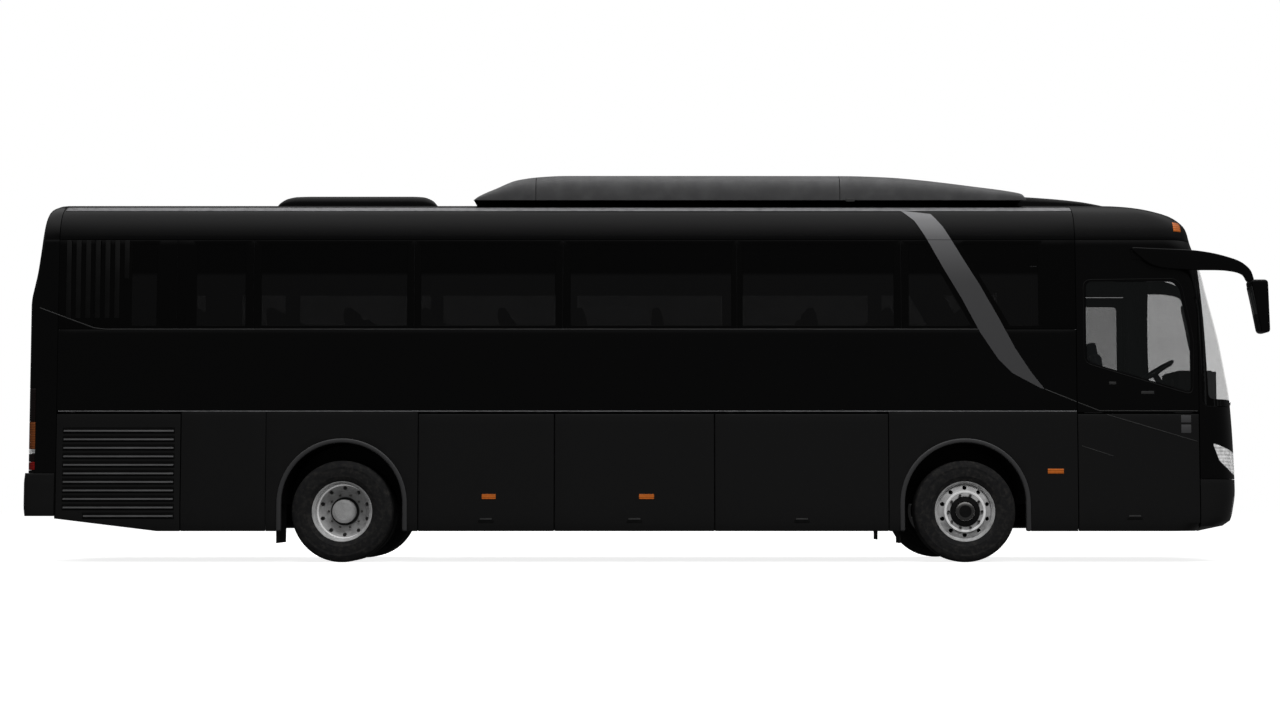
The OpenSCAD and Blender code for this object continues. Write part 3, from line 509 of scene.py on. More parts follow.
def cuboid(x, y, z):
    bm = bmesh.new()
    bmesh.ops.create_cube(bm, size=1.0)
    size = Vector((x[1] - x[0], y[1] - y[0], z[1] - z[0]))
    middle = Vector((x[0] + x[1], y[0] + y[1], z[0] + z[1])) / 2
    bmesh.ops.transform(bm, matrix=Matrix.Translation(middle) @ Matrix.Diagonal((*size, 1)), verts=bm.verts)
    return bm


def soft_box(name, x, y, z, finish, width=0.004, segments=2):
    obj = as_object(cuboid(x, y, z), name, finish)
    modifier(obj, "BEVEL", width=width, segments=segments)
    return settle(obj)


def tube(start, end, radius, name, finish, count=16, end_radius=None):
    """Round bar between two points."""
    start, end = Vector(start), Vector(end)
    bm = bmesh.new()
    bmesh.ops.create_cone(bm, cap_ends=True, segments=count, radius1=radius,
                          radius2=radius if end_radius is None else end_radius, depth=(end - start).length)
    turn = (end - start).to_track_quat("Z", "Y").to_matrix().to_4x4()
    bmesh.ops.transform(bm, matrix=Matrix.Translation((start + end) / 2) @ turn, verts=bm.verts)
    obj = as_object(bm, name, finish)
    modifier(obj, "BEVEL", width=min(radius * 0.15, 0.004), segments=2, limit_method="ANGLE")
    return settle(obj)


def carve(obj, bm, operation):
    tool = as_object(bm, "cutter", obj.data.materials[0])
    modifier(obj, "BOOLEAN", operation=operation, object=tool, solver="EXACT")
    settle(obj)
    bpy.data.objects.remove(tool)
    return obj


def cut(obj, bm):
    """Takes a solid away from a piece."""
    return carve(obj, bm, "DIFFERENCE")


def clip(obj, bm):
    """Keeps only what is inside a solid."""
    return carve(obj, bm, "INTERSECT")


def soften(obj, width=0.003, segments=2, angle=35):
    modifier(obj, "BEVEL", width=width, segments=segments, limit_method="ANGLE",
             angle_limit=math.radians(angle), use_clamp_overlap=True)
    return settle(obj)


def grid(point, across, up):
    """Open sheet of across by up cells, each corner at point(u, v) for u and v from 0 to 1."""
    bm = bmesh.new()
    bmesh.ops.create_grid(bm, x_segments=across, y_segments=up, size=0.5)
    for v in bm.verts:
        v.co = point(v.co.x + 0.5, v.co.y + 0.5)
    return bm


def sheet_solid(bm, name, finish, thickness):
    """Gives an open sheet its thickness, inward."""
    bmesh.ops.recalc_face_normals(bm, faces=bm.faces)
    centre = Vector((0, 0, 1.8))
    face = max(bm.faces, key=lambda f: f.calc_area())
    if face.normal.dot(face.calc_center_median() - centre) < 0:
        bmesh.ops.reverse_faces(bm, faces=bm.faces)
    obj = as_object(bm, name, finish)
    modifier(obj, "SOLIDIFY", thickness=thickness, offset=-1)
    return settle(obj)


def side_patch(x0, x1, z0, z1, side, proud=0.0, across=None, up=None):
    """Sheet on the body's side between two stations and two heights."""
    across = across or max(2, int(abs(x1 - x0) / 0.15))
    up = up or max(2, int(abs(z1 - z0) / 0.12))

    def point(u, v):
        x = x0 + (x1 - x0) * u
        z = z0 + (z1 - z0) * v
        return Vector((x, side * (side_y(x, z) + proud), z))
    return grid(point, across, up)


def side_panel(name, x0, x1, z0, z1, side, finish, thickness=PANEL, edge=0.004, cuts=(), **sizes):
    obj = sheet_solid(side_patch(x0, x1, z0, z1, side, **sizes), name, finish, thickness)
    for bm in cuts:
        cut(obj, bm)
    return soften(obj, edge)


def copied(node, name, finish, width, segments=2):
    """Merged copy of a CAD node with softened edges."""
    source = frame["nodes"][node]
    bm = bmesh.new()
    bm.from_mesh(source.data)
    bmesh.ops.remove_doubles(bm, verts=bm.verts, dist=1e-5)
    bmesh.ops.dissolve_limit(bm, angle_limit=math.radians(1), verts=bm.verts, edges=bm.edges)
    return soften(as_object(bm, name, finish), width, segments, 40)


def mirrored(obj, name):
    """The same piece on the other side of the coach."""
    bm = bmesh.new()
    bm.from_mesh(obj.data)
    bmesh.ops.scale(bm, vec=(1, -1, 1), verts=bm.verts)
    bmesh.ops.reverse_faces(bm, faces=bm.faces)
    made = as_object(bm, name, *obj.data.materials)
    for a, b in zip(made.data.polygons, obj.data.polygons):
        a.material_index = b.material_index
    made.data.polygons.foreach_set("use_smooth", [True] * len(made.data.polygons))
    made.data.set_sharp_from_angle(angle=math.radians(35))
    return made


def bead(name, route, radius, finish):
    """Thin moulding along (x, z) points of the right side, in a smooth line."""
    curve = bpy.data.curves.new(name, "CURVE")
    curve.dimensions = "3D"
    curve.bevel_depth = radius
    curve.bevel_resolution = 2
    curve.use_fill_caps = True
    spline = curve.splines.new("POLY")
    points = []
    for (xa, za), (xb, zb) in zip(route, route[1:]):
        steps = max(2, int(math.hypot(xb - xa, zb - za) / 0.08))
        points += [(xa + (xb - xa) * i / steps, za + (zb - za) * i / steps) for i in range(steps)]
    points.append(route[-1])
    spline.points.add(len(points) - 1)
    for spot, (x, z) in zip(spline.points, points):
        spot.co = (x, -side_y(x, z), z, 1)
    obj = bpy.data.objects.new(name, curve)
    bpy.context.scene.collection.objects.link(obj)
    graph = bpy.context.evaluated_depsgraph_get()
    mesh = bpy.data.meshes.new_from_object(obj.evaluated_get(graph))
    bpy.data.objects.remove(obj)
    made = bpy.data.objects.new(name, mesh)
    bpy.context.scene.collection.objects.link(made)
    mesh.materials.clear()
    mesh.materials.append(finish)
    mesh.polygons.foreach_set("use_smooth", [True] * len(mesh.polygons))
    return made


def glazed(name, sheet, finish, depth, solid, slot_name, node, body="coach"):
    """Pane or lens: the part of a sheet that is inside a solid."""
    return place(clip(sheet_solid(sheet, name, finish, depth), solid), body, slot_name, node)


def span(side, near, far):
    """The y range between two distances from the middle, on one side."""
    return sorted((side * near, side * far))


def rectangle(x0, x1, z0, z1):
    return [(x0, z0), (x1, z0), (x1, z1), (x0, z1)]


def sheet_of(rows):
    """Open sheet through rows of points, lowest row first."""
    up, across = len(rows) - 1, len(rows[0]) - 1
    return grid(lambda u, v: rows[round(v * up)][round(u * across)], across, up)


def arch_outline(x, extra=0.0):
    """(x, z) outline of a wheel arch opening, open downwards."""
    r = ARCH_R + extra
    points = [(x - r, 0.0), (x - r, ARCH_Z)]
    points += [(x - r * math.cos(math.pi * i / 40), ARCH_Z + r * math.sin(math.pi * i / 40))
               for i in range(1, 40)]
    return points + [(x + r, ARCH_Z), (x + r, 0.0)]


# ---------------------------------------------------------------- body
def rounded(points, radius, steps=5):
    """Outline with its corners rounded."""
    out = []
    n = len(points)
    for i in range(n):
        a, b, c = (Vector(points[k % n]) for k in (i - 1, i, i + 1))
        reach = min(radius, (a - b).length * 0.45, (c - b).length * 0.45)
        start, end = b + (a - b).normalized() * reach, b + (c - b).normalized() * reach
        for k in range(steps + 1):
            t = k / steps
            out.append(tuple(start * (1 - t) ** 2 + b * 2 * t * (1 - t) + end * t * t))
    return out


def nose_sheet(z0, z1, seam, across=72, up=None):
    up = up or max(3, int((z1 - z0) / 0.05))
    return sheet_of([end_plan(z0 + (z1 - z0) * i / up, True, seam, across) for i in range(up + 1)])


def tail_sheet(z0, z1, across=56, up=None):
    up = up or max(3, int((z1 - z0) / 0.06))
    return sheet_of([end_plan(z0 + (z1 - z0) * i / up, False, TAIL_SEAM, across) for i in range(up + 1)])


def domed_sheet(z0, front, seam, across, up, top=5):
    """End of the roof: rises from z0 to the flat top and closes over it."""
    rows = [end_plan(z0 + (ROOF_Z - z0) * math.sin(math.pi / 2 * i / up), front, seam, across)
            for i in range(up + 1)]
    last = rows[-1]
    for i in range(1, top + 1):
        rows.append([Vector((p.x, p.y * (1 - i / top), ROOF_Z)) for p in last])
    bm = sheet_of(rows)
    bmesh.ops.remove_doubles(bm, verts=bm.verts, dist=1e-5)
    return bm


def window_outlines():
    """(x, z) outlines of the side windows' clear parts."""
    low, high = WINDOW_Z
    spans = ((-5.14, -4.89), (-4.49, -4.0), (-3.84, -2.375), (-2.237, -0.89), (-0.735, 0.878),
             (0.995, 2.51))
    out = [rectangle(a, b, low, high) for a, b in spans]
    out.append([(2.66, low), (3.285, low), (2.817, high), (2.66, high)])
    out.append([(3.672, low), (3.96, low), (3.96, high), (3.182, high)])
    return out


def through(points, side=0, low=0.6, high=REACH):
    """Cutter along Y for one side of the coach, or for both."""
    if side == 0:
        return prism(points, -high, high)
    return prism(points, *span(side, low, high))


def scaled(points, grow):
    """Outline moved outward by about grow."""
    middle = sum((Vector(p) for p in points), Vector((0, 0))) / len(points)
    return [tuple(Vector(p) + (Vector(p) - middle).normalized() * grow) for p in points]


def side_walls():
    """Plain panel below the windows, glazed band above it, and the inner lining behind the glass."""
    for name, side in SIDES:
        low = side_panel("side_panel_" + name, TAIL_SEAM + SEAM, CAB_SEAM - SEAM, BELT_Z + SEAM,
                         BAND_Z - SEAM, side, BLACK, edge=0.005, up=8)
        place(low, "coach", "body_black", "side_walls")
        seams = (TAIL_SEAM,) + PANE_SEAMS + (CAB_SEAM,)
        panes = []
        for a, b in zip(seams, seams[1:]):
            shapes = [through(s, side) for s in window_outlines() if s[0][0] > a and s[1][0] < b]
            panes.append(side_panel("band", a + SEAM, b - SEAM, BAND_Z + SEAM, RAIL_Z - SEAM, side, FRIT,
                                    thickness=0.012, edge=0.0015, cuts=shapes, up=10))
        band = join("glass_border_" + name, panes)
        place(settle(band), "coach", "dark_glass", "side_walls")
        lining = [through(s, side) for s in window_outlines()]
        back = side_panel("window_frames_" + name, TAIL_SEAM + SEAM, CAB_SEAM - SEAM, BAND_Z,
                          RAIL_Z - SEAM, side, PLASTIC, thickness=WALL - 0.016, edge=0.004, cuts=lining,
                          proud=-0.014, up=10)
        place(back, "coach", "body_black", "side_walls")
        panes = []
        for shape in window_outlines():
            xs = [p[0] for p in shape]
            pane = sheet_solid(side_patch(min(xs), max(xs), *WINDOW_Z, side, up=10), "pane", TINT, PANE_DEPTH)
            panes.append(clip(pane, through(scaled(shape, -0.001), side)))
        fitted("side_windows_" + name, panes, "coach", "dark_glass", "side_windows")


def roof_section(z0, count):
    """(y, z) points over the roof from the right side to the left, evenly spaced."""
    right = []
    steps = 60
    for i in range(steps + 1):
        z = z0 + (ROOF_Z - z0) * math.sin(math.pi / 2 * i / steps)
        right.append(Vector((-half_width(z), z)))
    dense = right + [Vector((-p.x, p.y)) for p in reversed(right)]
    return evenly(dense, count)


def roof():
    """Roof skin with its cant rails, and the bright rail along each edge, whose light colour also paints in
    the highlight along the roof edge.
    """
    section = roof_section(RAIL_Z + SEAM, 64)
    start, length = TAIL_SEAM + SEAM, CAB_SEAM - TAIL_SEAM - 2 * SEAM
    bm = grid(lambda u, v: Vector((start + length * u, *section[round(v * 64)])), 24, 64)
    parts = [soften(sheet_solid(bm, "roof", ROOF_BLACK, SKIN), 0.003)]
    for i in range(3):
        parts.append(soft_box("hatch", (-5.42 + 0.14 * i, -5.33 + 0.14 * i), (-0.12, 0.12), (3.646, 3.668),
                              ROOF_BLACK, 0.008, 3))
    fitted("roof_skin", parts, "coach", "roof_grey", "roof_panel", "roof_sides")
    cap = domed_sheet(RAIL_Z + SEAM, True, CAB_SEAM + SEAM, 80, 22)
    place(soften(sheet_solid(cap, "front_roof_cap_skin", ROOF_BLACK, SKIN), 0.003), "coach", "body_black",
          "front_roof_cap")
    rails = []
    for side in (-1, 1):
        # a real rail; its bright finish also stands in for the highlight along the roof edge (painted
        # highlight)
        line = side_patch(TAIL_SEAM + 0.02, CAB_SEAM - 0.004, 3.548, 3.592, side, 0.006, 60, 3)
        rails.append(soften(sheet_solid(line, "rail", BRIGHT_TRIM, 0.010), 0.002))
        top = sheet_solid(side_patch(2.6, 3.1, 3.236, 3.55, side, 0.004, 20, 12), "stripe", STRIPE, 0.006)
        rails.append(clip(top, through(STRIPE_SHAPE, side)))
    fitted("roof_rails", rails, "coach", "stripe_grey", "roof_sides")


def stripes():
    """Sloping grey stripe on each side, below the roof."""
    both = []
    for side in (-1, 1):
        sheet = side_patch(2.7, 4.1, 1.72, RAIL_Z - 0.002, side, 0.004, 40, 44)
        both.append(clip(sheet_solid(sheet, "stripe", STRIPE, 0.0035), through(STRIPE_SHAPE, side)))
    fitted("stripes", both, "coach", "stripe_grey", "stripe_panels")


def underside_cutter():
    """What the rising underside of the tail takes off the skins."""
    return prism([(-4.86, 0.0), (-4.86, SKIRT_Z), (REAR_X, 0.48), (-6.5, 0.50), (-6.5, 0.0)], -REACH, REACH)


def arch_cutters(side):
    return [through(arch_outline(x, ARCH_LIP), side, 0.9) for x in (FRONT_AXLE, REAR_AXLE)]


def skirts():
    """Fixed lower panels round the wheels."""
    spans = ((ENGINE_DOOR_X[1], REAR_PANEL_X), (REAR_PANEL_X, BAY_X[0]), (BAY_X[3], CAB_SEAM))
    parts = []
    for name, side in SIDES:
        for a, b in spans:
            parts.append(side_panel("skirt", a + SEAM, b - SEAM, SKIRT_Z, BELT_Z - SEAM, side,
                                    LOWER_BLACK, cuts=arch_cutters(side)
                                    if b > REAR_PANEL_X + 0.1 or a > 0 else (), up=14))
    fitted("skirt_skins", parts, "coach", "body_black", "skirt_panels")


def arches():
    """Lips and liners of the wheel arches."""
    parts = []
    for name, side in SIDES:
        for x in (REAR_AXLE, FRONT_AXLE):
            outer, inner = arch_outline(x, ARCH_LIP - 0.001), arch_outline(x, 0.0)
            low, high = span(side, 1.190, 1.257)
            lip = as_object(prism(outer, low, high), "lip", ARCH_GREY)
            cut(lip, prism(inner, low - 0.1, high + 0.1))
            cut(lip, cuboid((x - 1, x + 1), (-REACH, REACH), (-0.1, SKIRT_Z)))
            parts.append(soften(lip, 0.018, 5, 50))
            reach = 0.560 if x == FRONT_AXLE else 0.600
            low, high = span(side, reach, 1.190)
            liner = as_object(prism(arch_outline(x, 0.016), low, high), "liner", TRIM_BLACK)
            cut(liner, prism(arch_outline(x, 0.0), low - 0.1, high + 0.1))
            cut(liner, cuboid((x - 1, x + 1), (-REACH, REACH), (-0.1, ARCH_Z)))
            parts.append(settle(liner))
            low, high = span(side, reach, reach + 0.008)
            end = as_object(prism(arch_outline(x, 0.004), low, high), "liner_end", TRIM_BLACK)
            parts.append(cut(end, cuboid((x - 1, x + 1), (-REACH, REACH), (-0.1, ARCH_Z))))
    fitted("wheel_arches", parts, "coach", "roof_grey", "wheel_arch_trims")


def barrel(x, y, z, along="X", length=0.060):
    step = Vector([length / 2 if axis == along else 0 for axis in "XYZ"])
    spot = Vector((x, y, z))
    return tube(spot - step, spot + step, 0.0058, "barrel", HUB_BLACK, 12)


def lid_hinges(x0, x1, side, moving):
    """Barrels of a lid's two hinges: the middle one moves, the two beside it are fixed."""
    out = []
    for x in (x0 + HINGE_INSET, x1 - HINGE_INSET):
        for k in ((0,) if moving else (-1, 1)):
            out.append(barrel(x + k * HINGE_STEP, side * HINGE_Y, HINGE_Z))
    return out


def handle(x, z, side, width=0.16):
    """Recessed pull of a lid: a cup behind the skin's face with a bar across it."""
    y = side * (side_y(x, z) - 0.001)
    plate = soft_box("cup", (x - width / 2, x + width / 2), sorted((y, y - side * 0.012)),
                     (z - 0.03, z + 0.03), TRIM_BLACK, 0.006, 3)
    bar = soft_box("bar", (x - width / 2 + 0.02, x + width / 2 - 0.02), sorted((y, y + side * 0.006)),
                   (z + 0.002, z + 0.02), TRIM_GREY, 0.003)
    return [plate, bar]


def lid(node, x0, x1, side, grille=False):
    """Top-hinged lid of the lower side, with its hinge barrels and either a pull or a slatted grille."""
    cuts = [underside_cutter()] if x0 < -4.7 else []
    skin = side_panel(node + "_panel", x0 + LID_GAP, x1 - LID_GAP, SKIRT_Z, LID_TOP, side, LOWER_BLACK,
                      cuts=cuts, up=14)
    parts = [skin] + lid_hinges(x0, x1, side, True)
    if grille:
        for i in range(11):
            z = 1.314 - 0.085 * i
            start = max(-5.81, -5.81 + max(0.0, (0.55 - z)) * 2.4)
            face = side * side_y(-5, z)
            # near-black strips behind the slats are painted shade for the depth of the slots
            parts.append(soft_box("slot", (start, -4.69),
                                  sorted((face - side * 0.004, face + side * 0.001)),
                                  (z - 0.03, z + 0.034), SLOT_SHADE, 0.001))
            slat = soft_box("slat", (start + 0.01, -4.70), (-0.004, 0.004), (-0.016, 0.016), SLAT, 0.003)
            slat.data.transform(Matrix.Translation((0, face, z)) @ Matrix.Rotation(side * 0.6, 4, "X"))
            parts.append(slat)
    else:
        parts += handle((x0 + x1) / 2, 0.42, side)
    fitted(node + "_panel_skin", parts, node + "_body", "body_black", node)


def marker(label, x0, x1, z0, z1, side, body, *nodes):
    """Amber side lamp, on a lid or on the body."""
    y = side * (HALF_WIDTH - 0.001)
    lens = soft_box(label, (x0, x1), sorted((y, y + side * 0.008)), (z0, z1), AMBER, 0.006, 4)
    place(lens, body, "lamp_orange", *nodes)


def lids():
    """Luggage lids, engine side doors and the amber lamps along the sides."""
    for name, side in SIDES:
        for i in range(3):
            lid("luggage_door_%s_%d" % (name, i + 1), BAY_X[i], BAY_X[i + 1], side)
        lid("engine_side_door_" + name, *ENGINE_DOOR_X, side, grille=True)
        for i, x0, x1 in ((1, -1.618, -1.478), (2, -0.048, 0.102)):
            marker("door_marker_%d_%s" % (i, name), x0, x1, 0.630, 0.680, side,
                   "luggage_door_%s_%d_body" % (name, i))
        marker("front_marker_" + name, 4.035, 4.195, 0.883, 0.933, side, "coach", "marker_lamps")


def front_quarter_sheet(x0, x1, z0, z1, side, up=20, across=30):
    return side_patch(x0, x1, z0, z1, side, across=across, up=up)


def cab_sides():
    """Side behind the windscreen: driver's window on the right, the entry door's frame on the left."""
    right = sheet_solid(front_quarter_sheet(CAB_SEAM + SEAM, MASK_SEAM - SEAM, BELT_Z - 0.006,
                                            RAIL_Z - SEAM, -1), "cab_side_right", BLACK, SKIN)
    cut(right, through(rounded(scaled(DRIVER_GLASS, 0.004), DRIVER_CORNER), -1))
    cut(right, through(scaled(SCREEN_SHAPE, 0.004), -1))
    fixed = lid_hinges(CAB_SEAM, MASK_SEAM, -1, False)
    fitted("cab_side_right_skin", [soften(right, 0.005)] + fixed, "coach", "body_black",
           "front_quarter_panels")
    left = sheet_solid(front_quarter_sheet(CAB_SEAM + SEAM, MASK_SEAM - SEAM, SKIRT_Z, RAIL_Z - SEAM, 1,
                                           36, 40), "cab_side_left", BLACK, SKIN)
    cut(left, through(rectangle(4.474, 5.394, 0.0, 2.886), 1))
    cut(left, through(scaled(SCREEN_SHAPE, 0.004), 1))
    place(soften(left, 0.005), "coach", "body_black", "front_quarter_panels")
    glazed("driver_window_pane", front_quarter_sheet(4.43, 5.49, 1.69, 2.82, -1, 16, 24), CLEAR, PANE_DEPTH,
           through(rounded(DRIVER_GLASS, DRIVER_CORNER), -1), "clear_glass", "driver_window")
    frame = rounded(scaled(DRIVER_GLASS, 0.035), 0.08)
    trims = [bead("window_rubber", frame + frame[:1], 0.005, TRIM_BLACK)]
    for x0, x1, z in ((4.66, 4.73, 1.79), (4.98, 5.11, 1.695)):
        y = side_y((x0 + x1) / 2, z)
        trims.append(soft_box("recess", (x0, x1), (-y - 0.002, -y + 0.012), (z - 0.015, z + 0.015),
                              TRIM_GREY, 0.004))
    fitted("driver_window_trims", trims, "coach", "black_plastic", "front_quarter_panels")
    flap = side_panel("driver_side_flap_panel", CAB_SEAM + LID_GAP, MASK_SEAM - LID_GAP, SKIRT_Z, LID_TOP,
                      -1, LOWER_BLACK, up=14, across=30)
    parts = [flap] + lid_hinges(CAB_SEAM, MASK_SEAM, -1, True) + handle(4.90, 0.45, -1)
    for low, high in ((1.395, 1.468), (1.29, 1.375)):
        y = -side_y(5.425, low)
        parts.append(soft_box("tag", (5.375, 5.475), (y - 0.001, y + 0.02), (low, high), STRIPE, 0.003))
    for route in ([(4.63, 1.475), (5.535, 1.205)], [(4.38, 1.16), (4.69, 1.06)]):
        parts.append(bead("crease", route, 0.004, TRIM_GREY))
    fitted("driver_side_flap_skin", parts, "driver_side_flap_body", "body_black", "driver_side_flap")


def seam_seals():
    """Rubber strips that close the seams of the lower panels from inside."""
    parts = [soft_box("seal", (CAB_SEAM - 0.04, CAB_SEAM + 0.04), span(side, 1.15, 1.176), (0.33, 1.53),
                      SOFT_RUBBER, 0.004) for side in (-1, 1)]
    for side in (-1, 1):
        for x in (ENGINE_DOOR_X[1],) + BAY_X:
            parts.append(soft_box("foot", (x - 0.03, x + 0.03), span(side, 1.18, 1.2), (0.315, 0.50),
                                  SOFT_RUBBER, 0.004))
    fitted("cab_seam_seals", parts, "coach", "soft_rubber", "skirt_panels")
    nose = soft_box("nose_seam_seal", (MASK_SEAM - 0.03, MASK_SEAM + 0.03), (-1.13, -1.10), (0.36, 1.47),
                    SOFT_RUBBER, 0.004)
    top = soft_box("flap_seal", (CAB_SEAM + 0.02, 5.52), (-1.195, -1.170), (1.45, 1.545), SOFT_RUBBER,
                   0.004)
    jamb = soft_box("door_seal", (5.350, 5.405), (1.125, 1.150), (0.33, 2.88), SOFT_RUBBER, 0.004)
    fitted("cab_door_seals", [nose, top, jamb], "coach", "soft_rubber", "front_quarter_panels")


def roof_markers():
    """Amber lamp on each side of the front roof cap."""
    for name, side in SIDES:
        lens = sheet_solid(side_patch(5.345, 5.435, 3.325, 3.425, side, 0.006, 6, 6),
                           "roof_marker_" + name, AMBER, 0.010)
        place(soften(lens, 0.004, 3), "coach", "lamp_orange", "front_roof_cap")


def entry_door():
    """Outward-swinging door with one tall pane."""
    sheet = front_quarter_sheet(4.480, 5.368, 0.330, 2.880, 1, 36, 30)
    skin = sheet_solid(sheet, "entry_door_skin", BLACK, PANEL - 0.002)
    shape = rectangle(4.55, 5.29, 1.15, 2.77)
    cut(skin, through(rounded(scaled(shape, 0.003), 0.05), 1))
    parts = [soften(skin, 0.005)]
    for z in (0.70, 2.50):
        parts.append(barrel(5.380, HINGE_Y, z, "Z"))
    y = side_y(4.56, 0.95) + 0.001
    parts += [soft_box("grip", (4.52, 4.54), (y, y + 0.005), (0.86, 1.06), TRIM_GREY, 0.003)]
    rail_y = 1.120
    parts.append(tube((5.315, rail_y, 2.13), (5.315, rail_y, 2.73), 0.014, "rail", PLASTIC, 16))
    for z in (2.17, 2.69):
        parts.append(tube((5.315, rail_y, z), (5.325, side_y(5.325, z) - 0.03, z), 0.011, "rail_foot",
                          PLASTIC, 12))
    fitted("entry_door_panel", parts, "entry_door", "body_black", "passenger_door")
    glazed("entry_door_pane", front_quarter_sheet(4.54, 5.30, 1.14, 2.78, 1, 20, 20), CLEAR, PANE_DEPTH,
           through(rounded(shape, 0.05), 1), "clear_glass", "passenger_door_glass", "entry_door")


def front_end():
    """Mask, windscreen, bumper and lamps."""
    mask = sheet_solid(nose_sheet(BUMPER_TOP + SEAM, RAIL_Z - SEAM, MASK_SEAM + SEAM), "mask", BLACK, SKIN)
    cut(mask, through(rounded(scaled(SCREEN_SHAPE, 0.006), SCREEN_CORNER)))
    for side in (-1, 1):
        cut(mask, through(rounded(scaled(LAMP_SHAPE, 0.006), LAMP_CORNER), side, 0.556))
    place(soften(mask, 0.004), "coach", "body_black", "front_mask")
    glazed("windscreen_pane", nose_sheet(1.55, 3.16, 5.50), SCREEN, PANE_DEPTH,
           through(rounded(SCREEN_SHAPE, SCREEN_CORNER)), "clear_glass", "windscreen")
    border = sheet_solid(nose_sheet(1.55, 3.16, 5.50, across=90), "windscreen_border", FRIT, 0.0112)
    clip(border, through(rounded(SCREEN_SHAPE, SCREEN_CORNER)))
    inner = [(5.655, 1.63), (6.4, 1.63), (6.4, 3.06), (5.602, 3.06)]
    cut(border, through(rounded(inner, 0.06)))
    place(border, "coach", "dark_glass", "windscreen")
    lower = nose_sheet(SKIRT_Z, BUMPER_TOP - SEAM, MASK_SEAM + SEAM)
    bumper = sheet_solid(lower, "bumper", LOWER_BLACK, SKIN)
    for side in (-1, 1):
        cut(bumper, through(rounded(rectangle(5.0, 6.3, 0.455, 0.655), 0.02), side, 0.86, 1.02))
    mouth = rounded([(-0.55, 0.44), (0.55, 0.44), (0.62, 0.64), (-0.62, 0.64)], 0.03)
    cut(bumper, prism(mouth, *NOSE_CUT, "X"))
    cut(bumper, prism(TOW_HOLE, *NOSE_CUT, "X"))
    place(soften(bumper, 0.004), "coach", "body_black", "front_bumper")
    parts = []
    for i in range(5):
        z = 0.462 + 0.039 * i
        parts.append(soft_box("slat", (6.0, 6.03), (-0.62, 0.62), (z, z + 0.012), TRIM_BLACK, 0.003))
    parts.append(soft_box("slat_back", (5.98, 6.0), (-0.66, 0.66), (0.42, 0.66), TRIM_BLACK, 0.003))
    fitted("bumper_grille", parts, "coach", "black_plastic", "front_bumper")
    for name, side in SIDES:
        glazed("fog_lens_" + name, nose_sheet(0.45, 0.66, MASK_SEAM, up=6), WHITE_LENS, 0.004,
               through(rectangle(5.0, 6.3, 0.462, 0.648), side, 0.866, 1.014), "lamp_clear", "front_bumper")
        bowl = tube((5.80, side * 0.94, 0.555), (5.86, side * 0.94, 0.555), 0.02, "fog_bowl_" + name,
                    BOWL, 24, 0.065)
        place(bowl, "coach", "lamp_clear", "front_bumper")
        glazed("headlamp_lens_" + name, nose_sheet(0.78, 1.21, MASK_SEAM, across=90, up=14), HEAD_LENS, 0.005,
               through(rounded(LAMP_SHAPE, LAMP_CORNER), side, 0.562), "lamp_clear", "headlamps")
        headlamp_inside(name, side)


def headlamp_inside(name, side):
    """Three bowls with their bulbs, stepped round the corner."""
    parts = []
    for x, y, z, r in ((5.985, 0.66, 0.955, 0.075), (5.935, 0.84, 0.965, 0.07), (5.83, 1.00, 1.01, 0.06)):
        aim = Vector((0.97, side * 0.24, 0))
        start = Vector((x - 0.10, side * y, z))
        parts.append(tube(start, start + aim * 0.07, r * 0.4, "bowl", BOWL, 28, r))
        parts.append(tube(start + aim * 0.068, start + aim * 0.075, r * 0.45, "bulb", BOWL, 20))
    fitted("headlamp_bowls_" + name, parts, "coach", "lamp_clear", "headlamps")


